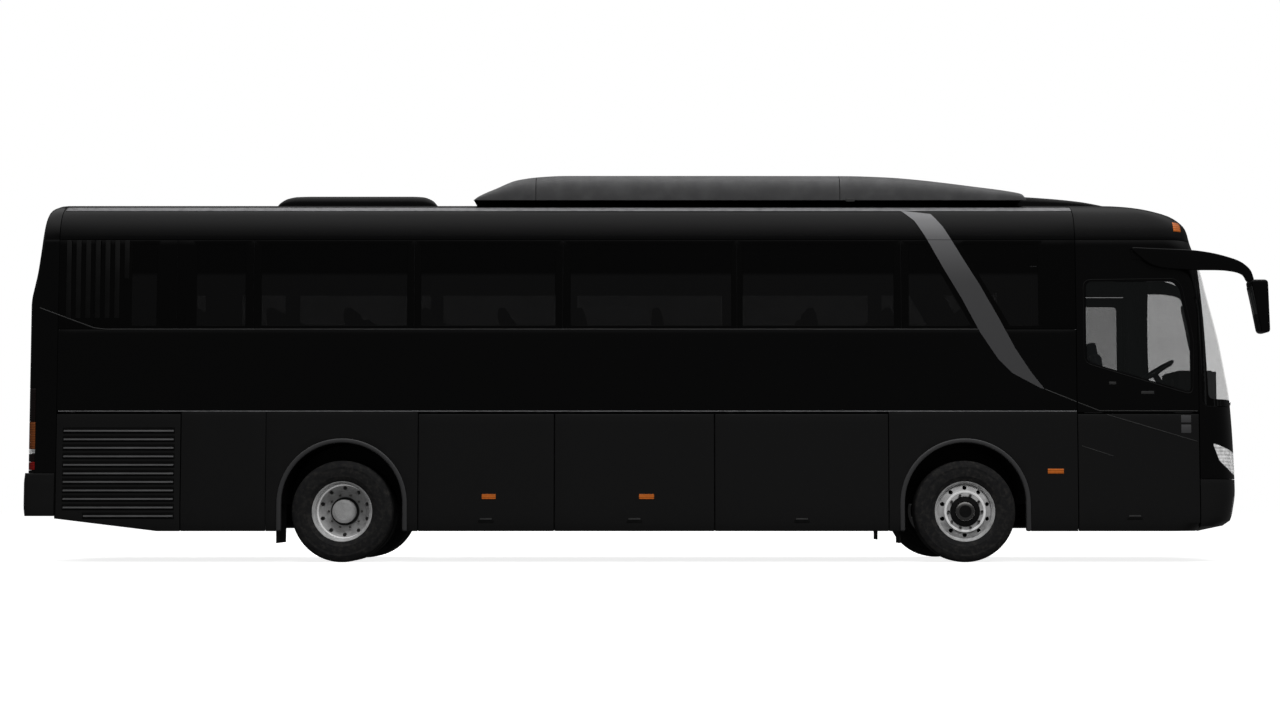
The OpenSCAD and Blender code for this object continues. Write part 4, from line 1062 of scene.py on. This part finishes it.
def rear_end():
    """Rear skin, window, engine door, bumper and lamp clusters."""
    skin = sheet_solid(tail_sheet(0.435, RAIL_Z, up=60), "rear_skin", BLACK, SKIN)
    cap = domed_sheet(RAIL_Z, False, TAIL_SEAM - SEAM, 56, 16)
    cap = sheet_solid(cap, "rear_cap", BLACK, WALL - 0.006)
    cut(skin, underside_cutter())
    window = rectangle(-0.98, 0.98, 2.38, 3.08)
    cut(skin, prism(rounded(scaled(window, 0.003), 0.05), *TAIL_CUT, "X"))
    cut(skin, prism(rectangle(-0.906, 0.906, 0.924, 1.574), *TAIL_CUT, "X"))
    for side in (-1, 1):
        cut(skin, cuboid((TAIL_CUT[0], -6.083), span(side, 0.998, REACH), (0.918, 1.742)))
    cut(skin, cuboid((TAIL_CUT[0], BUMPER_FRONT + 0.006), (-REACH, REACH), (0.0, 0.892)))
    cut(skin, prism(rounded(rectangle(-0.28, 0.28, 1.72, 1.90), 0.02), TAIL_CUT[0], -6.15, "X"))
    fixed = [barrel(REAR_HINGE[0], s * REAR_HINGE_Y + k * HINGE_STEP, REAR_HINGE[1], "Y")
             for s in (-1, 1) for k in (-1, 1)]
    plate = soft_box("plate_recess", (-6.160, -6.150), (-0.30, 0.30), (1.70, 1.92), TRIM_BLACK, 0.003)
    blank = soft_box("plate", (-6.167, -6.160), (-0.26, 0.26), (1.755, 1.865), TRIM_GREY, 0.003)
    # closes the gap over the engine door, where its hinge barrels are
    seal = soft_box("hinge_seal", (-6.149, -6.139), (-0.93, 0.93), (1.535, 1.600), SOFT_RUBBER, 0.002)
    fixed += [soften(skin, 0.004), soften(cap, 0.003), plate, blank, seal]
    fitted("rear_mask_skin", fixed, "coach", "body_black", "rear_mask")
    glazed("rear_window_pane", tail_sheet(2.37, 3.09, up=12), TINT, PANE_DEPTH,
           prism(rounded(window, 0.05), *TAIL_CUT, "X"), "dark_glass", "side_windows")
    door = sheet_solid(tail_sheet(0.925, 1.56, up=14), "engine_door_panel", LOWER_BLACK, PANEL - 0.002)
    clip(door, prism(rectangle(-0.90, 0.90, 0.93, 1.548), *TAIL_CUT, "X"))
    parts = [soften(door, 0.004)]
    parts += [barrel(REAR_HINGE[0], s * REAR_HINGE_Y, REAR_HINGE[1], "Y") for s in (-1, 1)]
    for i in range(7):
        z = 1.06 + 0.062 * i
        parts.append(soft_box("slat", (-6.197, -6.188), (-0.70, 0.70), (z, z + 0.034), TRIM_BLACK, 0.004))
    fitted("engine_door_skin", parts, "engine_door_body", "body_black", "engine_door")
    rear_bumper()
    for name, side in SIDES:
        tail_cluster(name, side)


def rear_bumper():
    """Wrap-round bumper."""
    depth, power = 0.14, 5.0
    rows = []
    for i in range(13):
        z = 0.460 + 0.430 * i / 12
        tuck = 0.02 * max(0.0, abs(i - 6) / 6 - 0.6)
        ring = []
        for k in range(61):
            a = math.pi * k / 60
            c = math.cos(a)
            ring.append(Vector((REAR_X + tuck + depth * (1 - math.sin(a) ** (2 / power)),
                                -swell(c, power) * (HALF_WIDTH - tuck), z)))
        rows.append([Vector((BUMPER_FRONT, ring[0].y, z))] + ring + [Vector((BUMPER_FRONT, ring[-1].y, z))])
    bumper = sheet_solid(sheet_of(rows), "rear_bumper_skin", LOWER_BLACK, SKIN)
    cut(bumper, prism(TOW_HOLE, TAIL_CUT[0], -6.1, "X"))
    place(soften(bumper, 0.004), "coach", "body_black", "rear_bumper")


def tail_cluster(name, side):
    """Stack of lenses on the rear corner."""
    bands = ((0.922, 1.000, RED, "lamp_red"), (1.004, 1.082, SMOKED, "lamp_red"),
             (1.086, 1.126, WHITE_LENS, "lamp_clear"), (1.130, 1.400, TAIL_AMBER, "lamp_orange"),
             (1.404, 1.738, SMOKED, "lamp_red"))
    for i, (low, high, finish, slot_name) in enumerate(bands):
        lens = sheet_solid(tail_sheet(low, high, up=6, across=90), "tail_lens_%d_%s" % (i, name),
                           finish, 0.012)
        clip(lens, cuboid((TAIL_CUT[0], -6.087), span(side, 1.002, REACH), (0.9, 1.8)))
        place(soften(lens, 0.003), "coach", slot_name, "tail_lamps")


# ---------------------------------------------------------------- roof units and outside fittings
def smoothed(points, rounds=2):
    """Outline with its corners cut again and again, which rounds it."""
    pts = [Vector(p) for p in points]
    for _ in range(rounds):
        pts = [q for a, b in zip(pts, pts[1:] + pts[:1]) for q in (a.lerp(b, 0.2), a.lerp(b, 0.8))]
    return [tuple(p) for p in pts]


def crowned(name, profile, half, base, finish, power=5.0, across=40, along=90):
    """Cover over the roof: (x, z) ridge profile, rounded over to both sides, open beneath."""
    ridge = smooth_table(profile)
    x0, x1 = profile[0][0], profile[-1][0]

    def point(u, v):
        x = x0 + (x1 - x0) * (0.5 - 0.5 * math.cos(math.pi * u))
        a = math.pi * v
        c, s = math.cos(a), math.sin(a)
        y = -half * swell(c, power)
        return Vector((x, y, base + (ridge(x) - base) * s ** (2 / power)))
    return sheet_solid(grid(point, along, across), name, finish, 0.008)


def roof_units():
    """Air conditioner with its dark base, seams and fans, and the rear vent."""
    profile = [(-1.735, 3.676), (-1.69, 3.73), (-1.50, 3.835), (-1.30, 3.925), (-1.05, 3.962),
               (-0.80, 3.974), (0.6, 3.974), (2.07, 3.972), (2.5, 3.957), (2.79, 3.932), (3.38, 3.854),
               (3.80, 3.785), (3.87, 3.76), (3.897, 3.70)]
    pod = crowned("pod", profile, 0.978, 3.673, POD_GREY)
    for x in (-1.1, 2.0):
        cut(pod, cuboid((x - 0.003, x + 0.003), (-1.1, 1.1), (3.55, 4.1)))
    for y in (-0.5, 0.5):
        for i in range(14):
            x = -0.35 + 0.05 * i
            cut(pod, cuboid((x, x + 0.022), (y - 0.22, y + 0.22), (3.93, 4.1)))
    parts = [soften(pod, 0.002)]
    ridge = [(3.60, 3.80), (3.90, 3.790), (4.20, 3.770), (4.53, 3.734), (4.72, 3.695), (4.845, 3.656)]
    parts.append(crowned("fairing", ridge, 0.545, 3.650, ROOF_BLACK, 6.0, 30, 40))
    base = soft_box("pod_base", (-1.588, 3.65), (-0.70, 0.70), (3.652, 3.674), TRIM_BLACK, 0.004)
    floor = soft_box("pod_floor", (-1.70, 3.86), (-0.95, 0.95), (3.674, 3.680), TRIM_BLACK, 0.002)
    for y in (-0.5, 0.5):
        parts.append(tube((0.0, y, 3.85), (0.0, y, 3.90), 0.20, "fan", TRIM_BLACK, 32))
    parts += [base, floor]
    parts.append(soft_box("pod_light", (2.06, 2.15), (-0.99, -0.978), (3.656, 3.690), TRIM_GREY, 0.004))
    fitted("air_conditioner_cover", parts, "coach", "roof_grey", "air_conditioner")
    profile = [(-3.806, 3.654), (-3.77, 3.715), (-3.70, 3.764), (-3.60, 3.785), (-3.45, 3.789),
               (-2.42, 3.789), (-2.30, 3.783), (-2.21, 3.750), (-2.16, 3.70), (-2.14, 3.654)]
    vent = crowned("vent", profile, 0.600, 3.652, ROOF_BLACK, across=30, along=60)
    for i in range(12):
        x = -3.50 + 0.09 * i
        cut(vent, cuboid((x, x + 0.035), (-0.40, 0.40), (3.77, 3.85)))
    place(soften(vent, 0.002), "coach", "roof_grey", "roof_vent")


def mirrors():
    """Arm of each outside mirror, its head and two glasses."""
    outline = smoothed([(4.862, 3.158), (5.06, 3.145), (5.51, 3.128), (5.75, 3.09), (5.98, 3.02),
                        (6.09, 2.93), (6.128, 2.80), (6.055, 2.80), (6.02, 2.875), (5.95, 2.905),
                        (5.81, 2.925), (5.51, 2.925), (5.20, 2.945), (5.062, 2.99)], 3)
    for name, side in SIDES:
        low, high = span(side, 1.236, 1.298)
        arm = as_object(prism(outline, low, high), "arm", BLACK)
        soften(arm, 0.020, 4, 50)
        root = soft_box("root", (4.90, 5.16), span(side, 1.215, 1.25), (3.03, 3.13), BLACK, 0.012, 3)
        low, high = span(side, 1.202, 1.438)
        head = as_object(prism(rounded(HEAD_SHAPE, 0.04), low, high), "head", BLACK)
        soften(head, 0.022, 4, 50)
        tilt = Matrix.Rotation(math.radians(-11.5), 4, "Y")
        spot = Matrix.Translation((6.102, side * 1.320, 2.560))
        glasses = []
        for z, h in ((0.05, 0.28), (-0.165, 0.11)):
            pane = soft_box("pane", (-0.0045, 0.0015), (-0.095, 0.095), (z - h / 2, z + h / 2),
                            MIRROR, 0.0025)
            pane.data.transform(spot @ tilt)
            glasses.append(pane)
        fitted("mirror_%s_shell" % name, [arm, root, head], "coach", "body_black", "mirrors")
        fitted("mirror_%s_glass" % name, glasses, "coach", "clear_glass", "mirrors")


def wipers():
    """Two pantograph wipers parked along the foot of the windscreen."""
    parts = []
    for y0, y1 in ((-0.90, -0.05), (0.06, 0.91)):
        for radius, z, off, a0, a1 in ((0.005, 1.608, 0.008, 0.02, 0.98), (0.009, 1.600, 0.018, 0.30, 1.0)):
            steps = 16
            spots = []
            for i in range(steps + 1):
                y = y0 + (y1 - y0) * (a0 + (a1 - a0) * i / steps)
                w = half_width(z)
                x = nose_x(z) - NOSE_DEPTH * (1 - (1 - (abs(y) / w) ** NOSE_POWER) ** (1 / NOSE_POWER))
                spots.append((x + off, y, z))
            for a, b in zip(spots, spots[1:]):
                parts.append(tube(a, b, radius, "blade", SOFT_RUBBER, 8))
    fitted("wiper_blades", parts, "coach", "soft_rubber", "wipers")


def moulding():
    """Rub strips, panel seams and rails along the sides."""
    lines = [
        [(-5.86, 1.507), (4.33, 1.507)],
        [(-6.06, 2.545), (-5.52, 2.345), (-5.40, 2.330), (3.36, 2.330)],
        [(4.02, 1.727), (4.33, 1.602)],
    ]
    parts = []
    for line in lines:
        strip = bead("strip", line, 0.0055, BRIGHT_TRIM if line[0][1] == 1.507 else TRIM_GREY)
        parts += [strip, mirrored(strip, "strip_left")]
    fitted("side_mouldings", parts, "coach", "body_black", "side_walls")
    front = bead("cab_strip", [(4.345, 1.596), (4.56, 1.512), (5.54, 1.510)], 0.0045, TRIM_GREY)
    place(front, "coach", "body_black", "front_quarter_panels")
    louvres = []
    for i in range(7):
        x = -5.80 + 0.097 * i
        low = 2.44 if i < 6 else 2.84
        for side in (-1, 1):
            louvres.append(soft_box("louvre", (x, x + 0.05), span(side, 1.243, 1.2535), (low, 3.228),
                                    TRIM_BLACK, 0.004))
    fitted("side_louvres", louvres, "coach", "black_plastic", "side_walls")


# ---------------------------------------------------------------- wheels
def spun(name, profile, finish, steps=96):
    """Ring turned about Y from (radius, y) points of a closed section."""
    bm = bmesh.new()
    verts = [bm.verts.new((0, y, r)) for r, y in profile]
    edges = [bm.edges.new((a, b)) for a, b in zip(verts, verts[1:] + verts[:1])]
    bmesh.ops.spin(bm, geom=verts + edges, cent=(0, 0, 0), axis=(0, 1, 0), angle=math.tau, steps=steps,
                   use_merge=True, use_duplicate=False)
    bmesh.ops.remove_doubles(bm, verts=bm.verts, dist=1e-6)
    bmesh.ops.recalc_face_normals(bm, faces=bm.faces)
    return settle(as_object(bm, name, finish), 30)


def tyre_profile():
    """(radius, y) section of a 295/80 tyre with four grooves; +y is the outer side."""
    half = TYRE_W / 2
    wall_side = [(BEAD_R + up, half - inset) for up, inset in (
        (0.0, 0.042), (0.016, 0.038), (0.020, 0.022), (0.035, 0.013), (0.060, 0.006), (0.064, 0.0035),
        (0.070, 0.004), (0.085, 0.0015), (0.110, 0.0005), (0.130, 0.0015), (0.150, 0.004), (0.154, 0.0025),
        (0.160, 0.003))]
    wall_side += [(TYRE_R - down, half - inset) for down, inset in (
        (0.040, 0.011), (0.018, 0.018), (0.007, 0.026), (0.002, 0.036))]
    tread = [(TYRE_R, half - 0.05)]
    for y in (0.062, 0.022, -0.022, -0.062):
        tread += [(TYRE_R, y + 0.006), (TYRE_R - 0.014, y + 0.004), (TYRE_R - 0.014, y - 0.004),
                  (TYRE_R, y - 0.006)]
    tread.append((TYRE_R, 0.05 - half))
    return wall_side + tread + [(r, -y) for r, y in reversed(wall_side)]


def tyre(name):
    return spun(name, tyre_profile(), TYRE)


def ring_of(count, radius, maker, phase=0.0):
    out = []
    for i in range(count):
        a = math.tau * i / count + phase
        out.append(maker(radius * math.cos(a), radius * math.sin(a)))
    return out


def rim_barrel(out):
    """(radius, y) section of the rim's barrel; out is the sign of its outer face."""
    h = 0.110
    outer = [(0.272, -h), (0.302, -h), (0.302, 0.010 - h), (0.286, 0.014 - h), (0.286, h - 0.014),
             (0.302, h - 0.010), (0.302, h), (0.296, h), (0.290, h - 0.004), (0.281, h - 0.02),
             (0.272, h - 0.024)]
    return [(r, y * out) for r, y in outer]


def nuts(y, count, radius, size, finish, way=1):
    def one(x, z):
        return tube((x, y - way * 0.002, z), (x, y + way * 0.026, z), size, "nut", finish, 6)

    def stud(x, z):
        return tube((x, y, z), (x, y + way * 0.036, z), size * 0.45, "stud", finish, 10)
    return ring_of(count, radius, one) + ring_of(count, radius, stud)


def vented_disc(name, profile, finish, vents, vent_radius, vent_size, y0, y1):
    disc = spun(name, profile, finish)
    for cutter in ring_of(vents, vent_radius, lambda x, z: (x, z), math.pi / vents):
        bm = bmesh.new()
        bmesh.ops.create_cone(bm, cap_ends=True, segments=24, radius1=vent_size, radius2=vent_size,
                              depth=y1 - y0)
        turn = Matrix.Rotation(math.pi / 2, 4, "X")
        bmesh.ops.transform(bm, matrix=Matrix.Translation((cutter[0], (y0 + y1) / 2, cutter[1])) @ turn,
                            verts=bm.verts)
        cut(disc, bm)
    return soften(disc, 0.0025)


def seat_on_axle(obj, x, side, y_mid):
    """From the wheel's own frame, where +Y points out, to its place."""
    turn = Matrix.Diagonal((1, side, 1, 1))
    obj.data.transform(Matrix.Translation((x, side * y_mid, TYRE_R)) @ turn)
    if side < 0:
        obj.data.flip_normals()
    return obj


def front_wheels():
    """Tyre, and rim with its disc, drum, nuts and hub, on each steered wheel."""
    for name, side in SIDES:
        rubber_ring = seat_on_axle(tyre("front_tyre_%s_tread" % name), FRONT_AXLE, side, TYRE_Y)
        place(rubber_ring, "front_wheel_" + name, "tyre_rubber", "front_tyre_" + name)
        parts = [spun("barrel", rim_barrel(1), RIM)]
        disc = [(0.279, 0.014), (0.279, 0.044), (0.262, 0.066), (0.215, 0.104), (0.200, 0.112),
                (0.100, 0.112), (0.100, 0.098), (0.194, 0.098), (0.206, 0.092), (0.255, 0.052),
                (0.270, 0.030), (0.270, 0.014)]
        parts.append(vented_disc("disc", disc, RIM, 10, 0.236, 0.021, -0.02, 0.14))
        # the step ring takes the painted-highlight finish for the bright crescent on the front rim
        parts.append(spun("step", [(0.207, 0.106), (0.207, 0.1155), (0.196, 0.1185), (0.186, 0.1155),
                                   (0.186, 0.109)], RIM_LIP_HIGHLIGHT))
        parts.append(spun("drum", [(0.262, -0.05), (0.262, -0.03), (0.110, -0.03), (0.110, -0.05)],
                          HUB_BLACK))
        parts.append(spun("ring", [(0.150, 0.111), (0.150, 0.118), (0.104, 0.126), (0.098, 0.111)],
                          HUB_BLACK))
        parts += nuts(0.112, 10, 0.168, 0.0155, STEEL)
        parts.append(spun("hub", [(0.100, -0.018), (0.100, 0.120), (0.094, 0.130), (0.078, 0.1405),
                                  (0.041, 0.1405), (0.041, -0.018)], STEEL, 64))
        parts.append(spun("cap", [(0.000, 0.1405), (0.062, 0.1405), (0.062, 0.1415), (0.055, 0.1418),
                                  (0.0, 0.1418)], HUB_BLACK, 48))
        rim = join("front_rim_%s_wheel" % name, parts)
        place(settle(seat_on_axle(rim, FRONT_AXLE, side, TYRE_Y)), "front_wheel_" + name, "rim_silver",
              "front_rim_" + name)


def rear_wheels():
    """Twin tyres and dished rims on each side of the driven axle."""
    half_gap = TWIN_STEP / 2
    for name, side in SIDES:
        outer = seat_on_axle(tyre("outer_tyre"), REAR_AXLE, side, TYRE_Y)
        inner = seat_on_axle(tyre("inner_tyre"), REAR_AXLE, side, TYRE_Y - TWIN_STEP)
        fitted("rear_tyres_%s_tread" % name, [outer, inner], "rear_wheels_" + name, "tyre_rubber",
               "rear_tyres_" + name)
        parts = [spun("barrel", rim_barrel(1), RIM)]
        dish = [(0.279, -0.084), (0.279, -0.058), (0.262, -0.074), (0.215, -0.128),
                (0.200, -half_gap + 0.014), (0.100, -half_gap + 0.014), (0.100, -half_gap + 0.001),
                (0.200, -half_gap + 0.001), (0.222, -0.140), (0.268, -0.092)]
        # the rear dish takes the darker painted-shade copy of the rim paint
        parts.append(vented_disc("dish", dish, SHADED_DISC, 10, 0.234, 0.020, -0.20, 0.0))
        # the rear rim's outer lip takes the painted-highlight finish
        parts.append(spun("lip", [(0.2800, -0.030), (0.2995, -0.0005), (0.2960, 0.0010), (0.2600, -0.074),
                                  (0.2640, -0.0765)], RIM_LIP_HIGHLIGHT))
        inner_dish = [(r, -2 * half_gap - y) for r, y in dish]
        inner_barrel = [(r, y - TWIN_STEP) for r, y in rim_barrel(-1)]
        parts.append(spun("inner_barrel", inner_barrel, RIM))
        parts.append(spun("inner_dish", inner_dish, RIM))
        parts += nuts(-half_gap + 0.014, 10, 0.168, 0.0155, STEEL)
        parts.append(spun("hub", [(0.118, -0.214), (0.118, -0.026), (0.112, -0.012), (0.100, -0.0055),
                                  (0.041, -0.0055), (0.041, -0.214)], SHADED_DISC, 64))
        parts.append(spun("ring", [(0.143, -half_gap + 0.012), (0.143, -half_gap + 0.040),
                                   (0.136, -half_gap + 0.046), (0.119, -half_gap + 0.046),
                                   (0.119, -half_gap + 0.012)], HUB_BLACK))
        parts.append(spun("cap", [(0.0, -0.0055), (0.090, -0.0055), (0.088, -0.0040), (0.0, -0.0040)],
                          RIM, 48))
        rim = join("rear_rims_%s_wheel" % name, parts)
        place(settle(seat_on_axle(rim, REAR_AXLE, side, TYRE_Y)), "rear_wheels_" + name, "rim_silver",
              "rear_rims_" + name)


# ---------------------------------------------------------------- inside
def cushion(x, y, z, tilt, finish=SEAT, width=0.045):
    bm = cuboid((-x / 2, x / 2), (-y / 2, y / 2), (-z / 2, z / 2))
    bmesh.ops.rotate(bm, verts=bm.verts, cent=(0, 0, 0), matrix=Matrix.Rotation(math.radians(tilt), 3, "Y"))
    obj = as_object(bm, "cushion", finish)
    modifier(obj, "BEVEL", width=width, segments=4)
    return settle(obj)


def moved(obj, x, y, z):
    obj.data.transform(Matrix.Translation((x, y, z)))
    return obj


def copies(obj, spots):
    """One mesh repeated at several places."""
    bm = bmesh.new()
    for spot in spots:
        old = set(bm.verts)
        bm.from_mesh(obj.data)
        bmesh.ops.translate(bm, vec=spot, verts=[v for v in bm.verts if v not in old])
    made = as_object(bm, obj.name + "_row", *obj.data.materials)
    bpy.data.objects.remove(obj)
    return settle(made)


def seats():
    """Twelve rows of paired seats, with frames, and the driver's seat."""
    spots = [(FIRST_SEAT_X - SEAT_PITCH * i, side * 0.7, DECK_Z) for i in range(SEAT_ROWS)
             for side in (-1, 1)]
    soft = []
    for y in (-SEAT_Y, SEAT_Y):
        soft.append(moved(cushion(0.45, 0.43, 0.115, 2), 0.225, y, 0.435))
        soft.append(moved(cushion(0.105, 0.42, 0.60, -12), -0.045, y, 0.715))
    cushions = copies(join("pads", soft), spots)
    cushions.name = "passenger_cushions"
    place(cushions, "coach", "seat_fabric", "passenger_seats")
    heads = []
    for y in (-SEAT_Y, SEAT_Y):
        heads.append(moved(cushion(0.085, 0.30, 0.10, -12, PLASTIC, 0.03), -0.100, y, 0.985))
    frames = [soft_box("leg", (0.06, 0.38), (y - 0.02, y + 0.02), (0.0, 0.385), CHASSIS, 0.006)
              for y in (-0.35, 0.31)]
    frames.append(soft_box("rest", (0.05, 0.36), (-0.02, 0.02), (0.56, 0.60), PLASTIC, 0.012))
    hard = copies(join("seat_frames", heads + frames), spots)
    hard.name = "passenger_seat_frames"
    place(hard, "coach", "black_plastic", "passenger_seats")
    pads = [moved(cushion(0.50, 0.50, 0.12, 0), 4.95, DRIVER_Y, 1.488),
            moved(cushion(0.12, 0.48, 0.62, -10), 4.66, DRIVER_Y, 1.80),
            moved(cushion(0.10, 0.28, 0.16, -10, SEAT, 0.035), 4.60, DRIVER_Y, 2.15)]
    driver = fitted("driver_cushions", pads, "coach", "seat_fabric", "driver_seat")
    base = [soft_box("base", (4.78, 5.12), (-0.87, -0.41), (1.10, 1.28), PLASTIC, 0.02, 3),
            soft_box("bellows", (4.82, 5.08), (-0.82, -0.46), (1.27, 1.43), SOFT_RUBBER, 0.03, 3)]
    fitted("driver_seat_base", base, "coach", "black_plastic", "driver_seat")


def cab():
    """Dashboard with its hood, dials and column, and the steering wheel."""
    parts = [copied("dashboard", "dash", PLASTIC, 0.012, 3)]
    parts.append(soft_box("instrument_hood", (5.430, 5.78), (-0.94, -0.34), (1.90, 1.935),
                          PLASTIC, 0.015, 4))
    for y in (-0.74, -0.54):
        parts.append(tube((5.414, y, 1.80), (5.424, y, 1.80), 0.055, "dial", LINER, 32))
    fitted("dashboard_top", parts, "coach", "black_plastic", "dashboard")
    bm = bmesh.new()
    bmesh.ops.create_circle(bm, radius=0.016, segments=16, cap_ends=False)
    bmesh.ops.rotate(bm, verts=bm.verts, cent=(0, 0, 0), matrix=Matrix.Rotation(math.pi / 2, 3, "X"))
    bmesh.ops.translate(bm, vec=(0.220, 0, 0), verts=bm.verts)
    bmesh.ops.spin(bm, geom=list(bm.verts) + list(bm.edges), cent=(0, 0, 0), axis=(0, 0, 1), angle=math.tau,
                   steps=64, use_merge=True, use_duplicate=False)
    bmesh.ops.remove_doubles(bm, verts=bm.verts, dist=1e-6)
    bmesh.ops.recalc_face_normals(bm, faces=bm.faces)
    ring = settle(as_object(bm, "grip", SOFT_RUBBER))
    ring.data.transform(Matrix.Translation((0, 0, 0.034)))
    parts = [ring, tube((0, 0, 0), (0, 0, 0.03), 0.058, "boss", PLASTIC, 32)]
    for a in (90, 210, 330):
        spoke = soft_box("spoke", (0.04, 0.212), (-0.016, 0.016), (0.010, 0.024), PLASTIC, 0.005)
        spoke.data.transform(Matrix.Rotation(math.radians(a), 4, "Z"))
        parts.append(spoke)
    wheel = join("steering_wheel_rim", parts)
    visor = soft_box("sun_visor", (-0.11, 0.11), (-0.22, 0.22), (-0.008, 0.008), PLASTIC, 0.006, 3)
    visor.data.transform(Matrix.Translation((5.27, -0.66,
                                             2.86)) @ Matrix.Rotation(math.radians(38), 4, "Y"))
    arms = [tube((5.20, y, 2.91), (5.24, y, 3.44), 0.008, "arm", PLASTIC, 10) for y in (-0.84, -0.48)]
    fitted("driver_sun_visor", [visor] + arms, "coach", "black_plastic", "front_roof_cap")
    column = Matrix.Translation(COLUMN_FOOT) @ Matrix.Rotation(math.radians(COLUMN_TILT), 4, "Y")
    wheel.data.transform(column @ Matrix.Translation((0, 0, COLUMN_LENGTH)))
    place(settle(wheel), "steering_wheel_body", "black_plastic", "steering_wheel")


def plain_nodes():
    """Pieces that keep their built shape and get softened edges."""
    for node, finish, slot_name, width in (
            ("bay_structure", CHASSIS, "frame_grey", 0.004), ("front_frame", CHASSIS, "frame_grey", 0.004),
            ("rear_frame", CHASSIS, "frame_grey", 0.004), ("front_axle", CHASSIS, "frame_grey", 0.006),
            ("rear_axle", CHASSIS, "frame_grey", 0.006), ("floor_deck", VINYL, "floor_covering", 0.003),
            ("cab_floor", VINYL, "floor_covering", 0.003), ("luggage_racks", PLASTIC, "black_plastic", 0.02),
            ("mud_flaps", SOFT_RUBBER, "soft_rubber", 0.003), ("engine_block", IRON, "engine_iron", 0.012)):
        place(copied(node, node + "_soft", finish, width), "coach", slot_name, node)
    for name, side in SIDES:
        place(copied("knuckle_" + name, "knuckle_%s_soft" % name, CHASSIS, 0.004), "knuckle_%s_body" % name,
              "frame_grey", "knuckle_" + name)


# ---------------------------------------------------------------- stage
def area(name, spot, size, power, target=(0, 0, 1.8)):
    data = bpy.data.lights.new(name, "AREA")
    data.shape = "RECTANGLE"
    data.size, data.size_y = size
    data.energy = power
    light = bpy.data.objects.new(name, data)
    light.location = spot
    light.visible_glossy = False
    light.rotation_euler = (Vector(target) - Vector(spot)).to_track_quat("-Z", "Y").to_euler()
    bpy.context.scene.collection.objects.link(light)
    return light


def stage():
    """Pale floor and backdrop, soft lights and the camera."""
    scene = bpy.context.scene
    scene.view_settings.view_transform = "Standard"
    world = bpy.data.worlds.new("studio")
    scene.world = world
    world.use_nodes = True
    tree = world.node_tree
    tree.nodes.clear()
    base = Value(tree)
    height = base.node("TexCoord", {}, {}, "Generated").part("Z")
    glow = 0.035 + 0.42 * height.smooth(0.30, 0.95)
    back = base.node("Background", {}, {"Color": (1, 1, 1, 1), "Strength": glow})
    out = tree.nodes.new("ShaderNodeOutputWorld")
    tree.links.new(back.socket, out.inputs["Surface"])
    white = bpy.data.materials.new("backdrop_white")
    white.use_nodes = True
    white.node_tree.nodes.clear()
    start = Value(white.node_tree)
    shine = start.node("Emission", {}, {"Color": (1, 1, 1, 1), "Strength": 1.0})
    end = white.node_tree.nodes.new("ShaderNodeOutputMaterial")
    white.node_tree.links.new(shine.socket, end.inputs["Surface"])
    bm = bmesh.new()
    bmesh.ops.create_uvsphere(bm, u_segments=48, v_segments=24, radius=BACKDROP_R)
    bmesh.ops.reverse_faces(bm, faces=bm.faces)
    dome = as_object(bm, "backdrop", white)
    bm = bmesh.new()
    bmesh.ops.create_circle(bm, cap_ends=True, radius=BACKDROP_R, segments=64)
    floor_white = material("floor_white", lambda p: {"Base Color": (0.9, 0.9, 0.9), "Roughness": 0.9},
                           Emission_Color=(1, 1, 1, 1), Emission_Strength=0.85)
    floor = as_object(bm, "floor", floor_white)
    floor.location.z = -0.002
    for obj in (dome, floor):
        obj.visible_glossy = False
        obj.visible_shadow = False
        obj.visible_diffuse = False
    area("key", (4, -14, 14), (16, 8), 1500)
    area("fill", (-10, 12, 12), (14, 8), 900)
    area("top", (0, 0, 16), (16, 6), 900)
    data = bpy.data.cameras.new("camera")
    data.lens = CAMERA_LENS
    data.clip_end = 400
    camera = bpy.data.objects.new("camera", data)
    camera.location = CAMERA_SPOT
    camera.rotation_euler = (math.radians(CAMERA_TILT), 0, 0)
    scene.collection.objects.link(camera)
    scene.camera = camera


side_walls()
roof()
stripes()
skirts()
arches()
lids()
cab_sides()
entry_door()
seam_seals()
roof_markers()
front_end()
rear_end()
roof_units()
mirrors()
wipers()
moulding()
front_wheels()
rear_wheels()
seats()
cab()
plain_nodes()
stage()
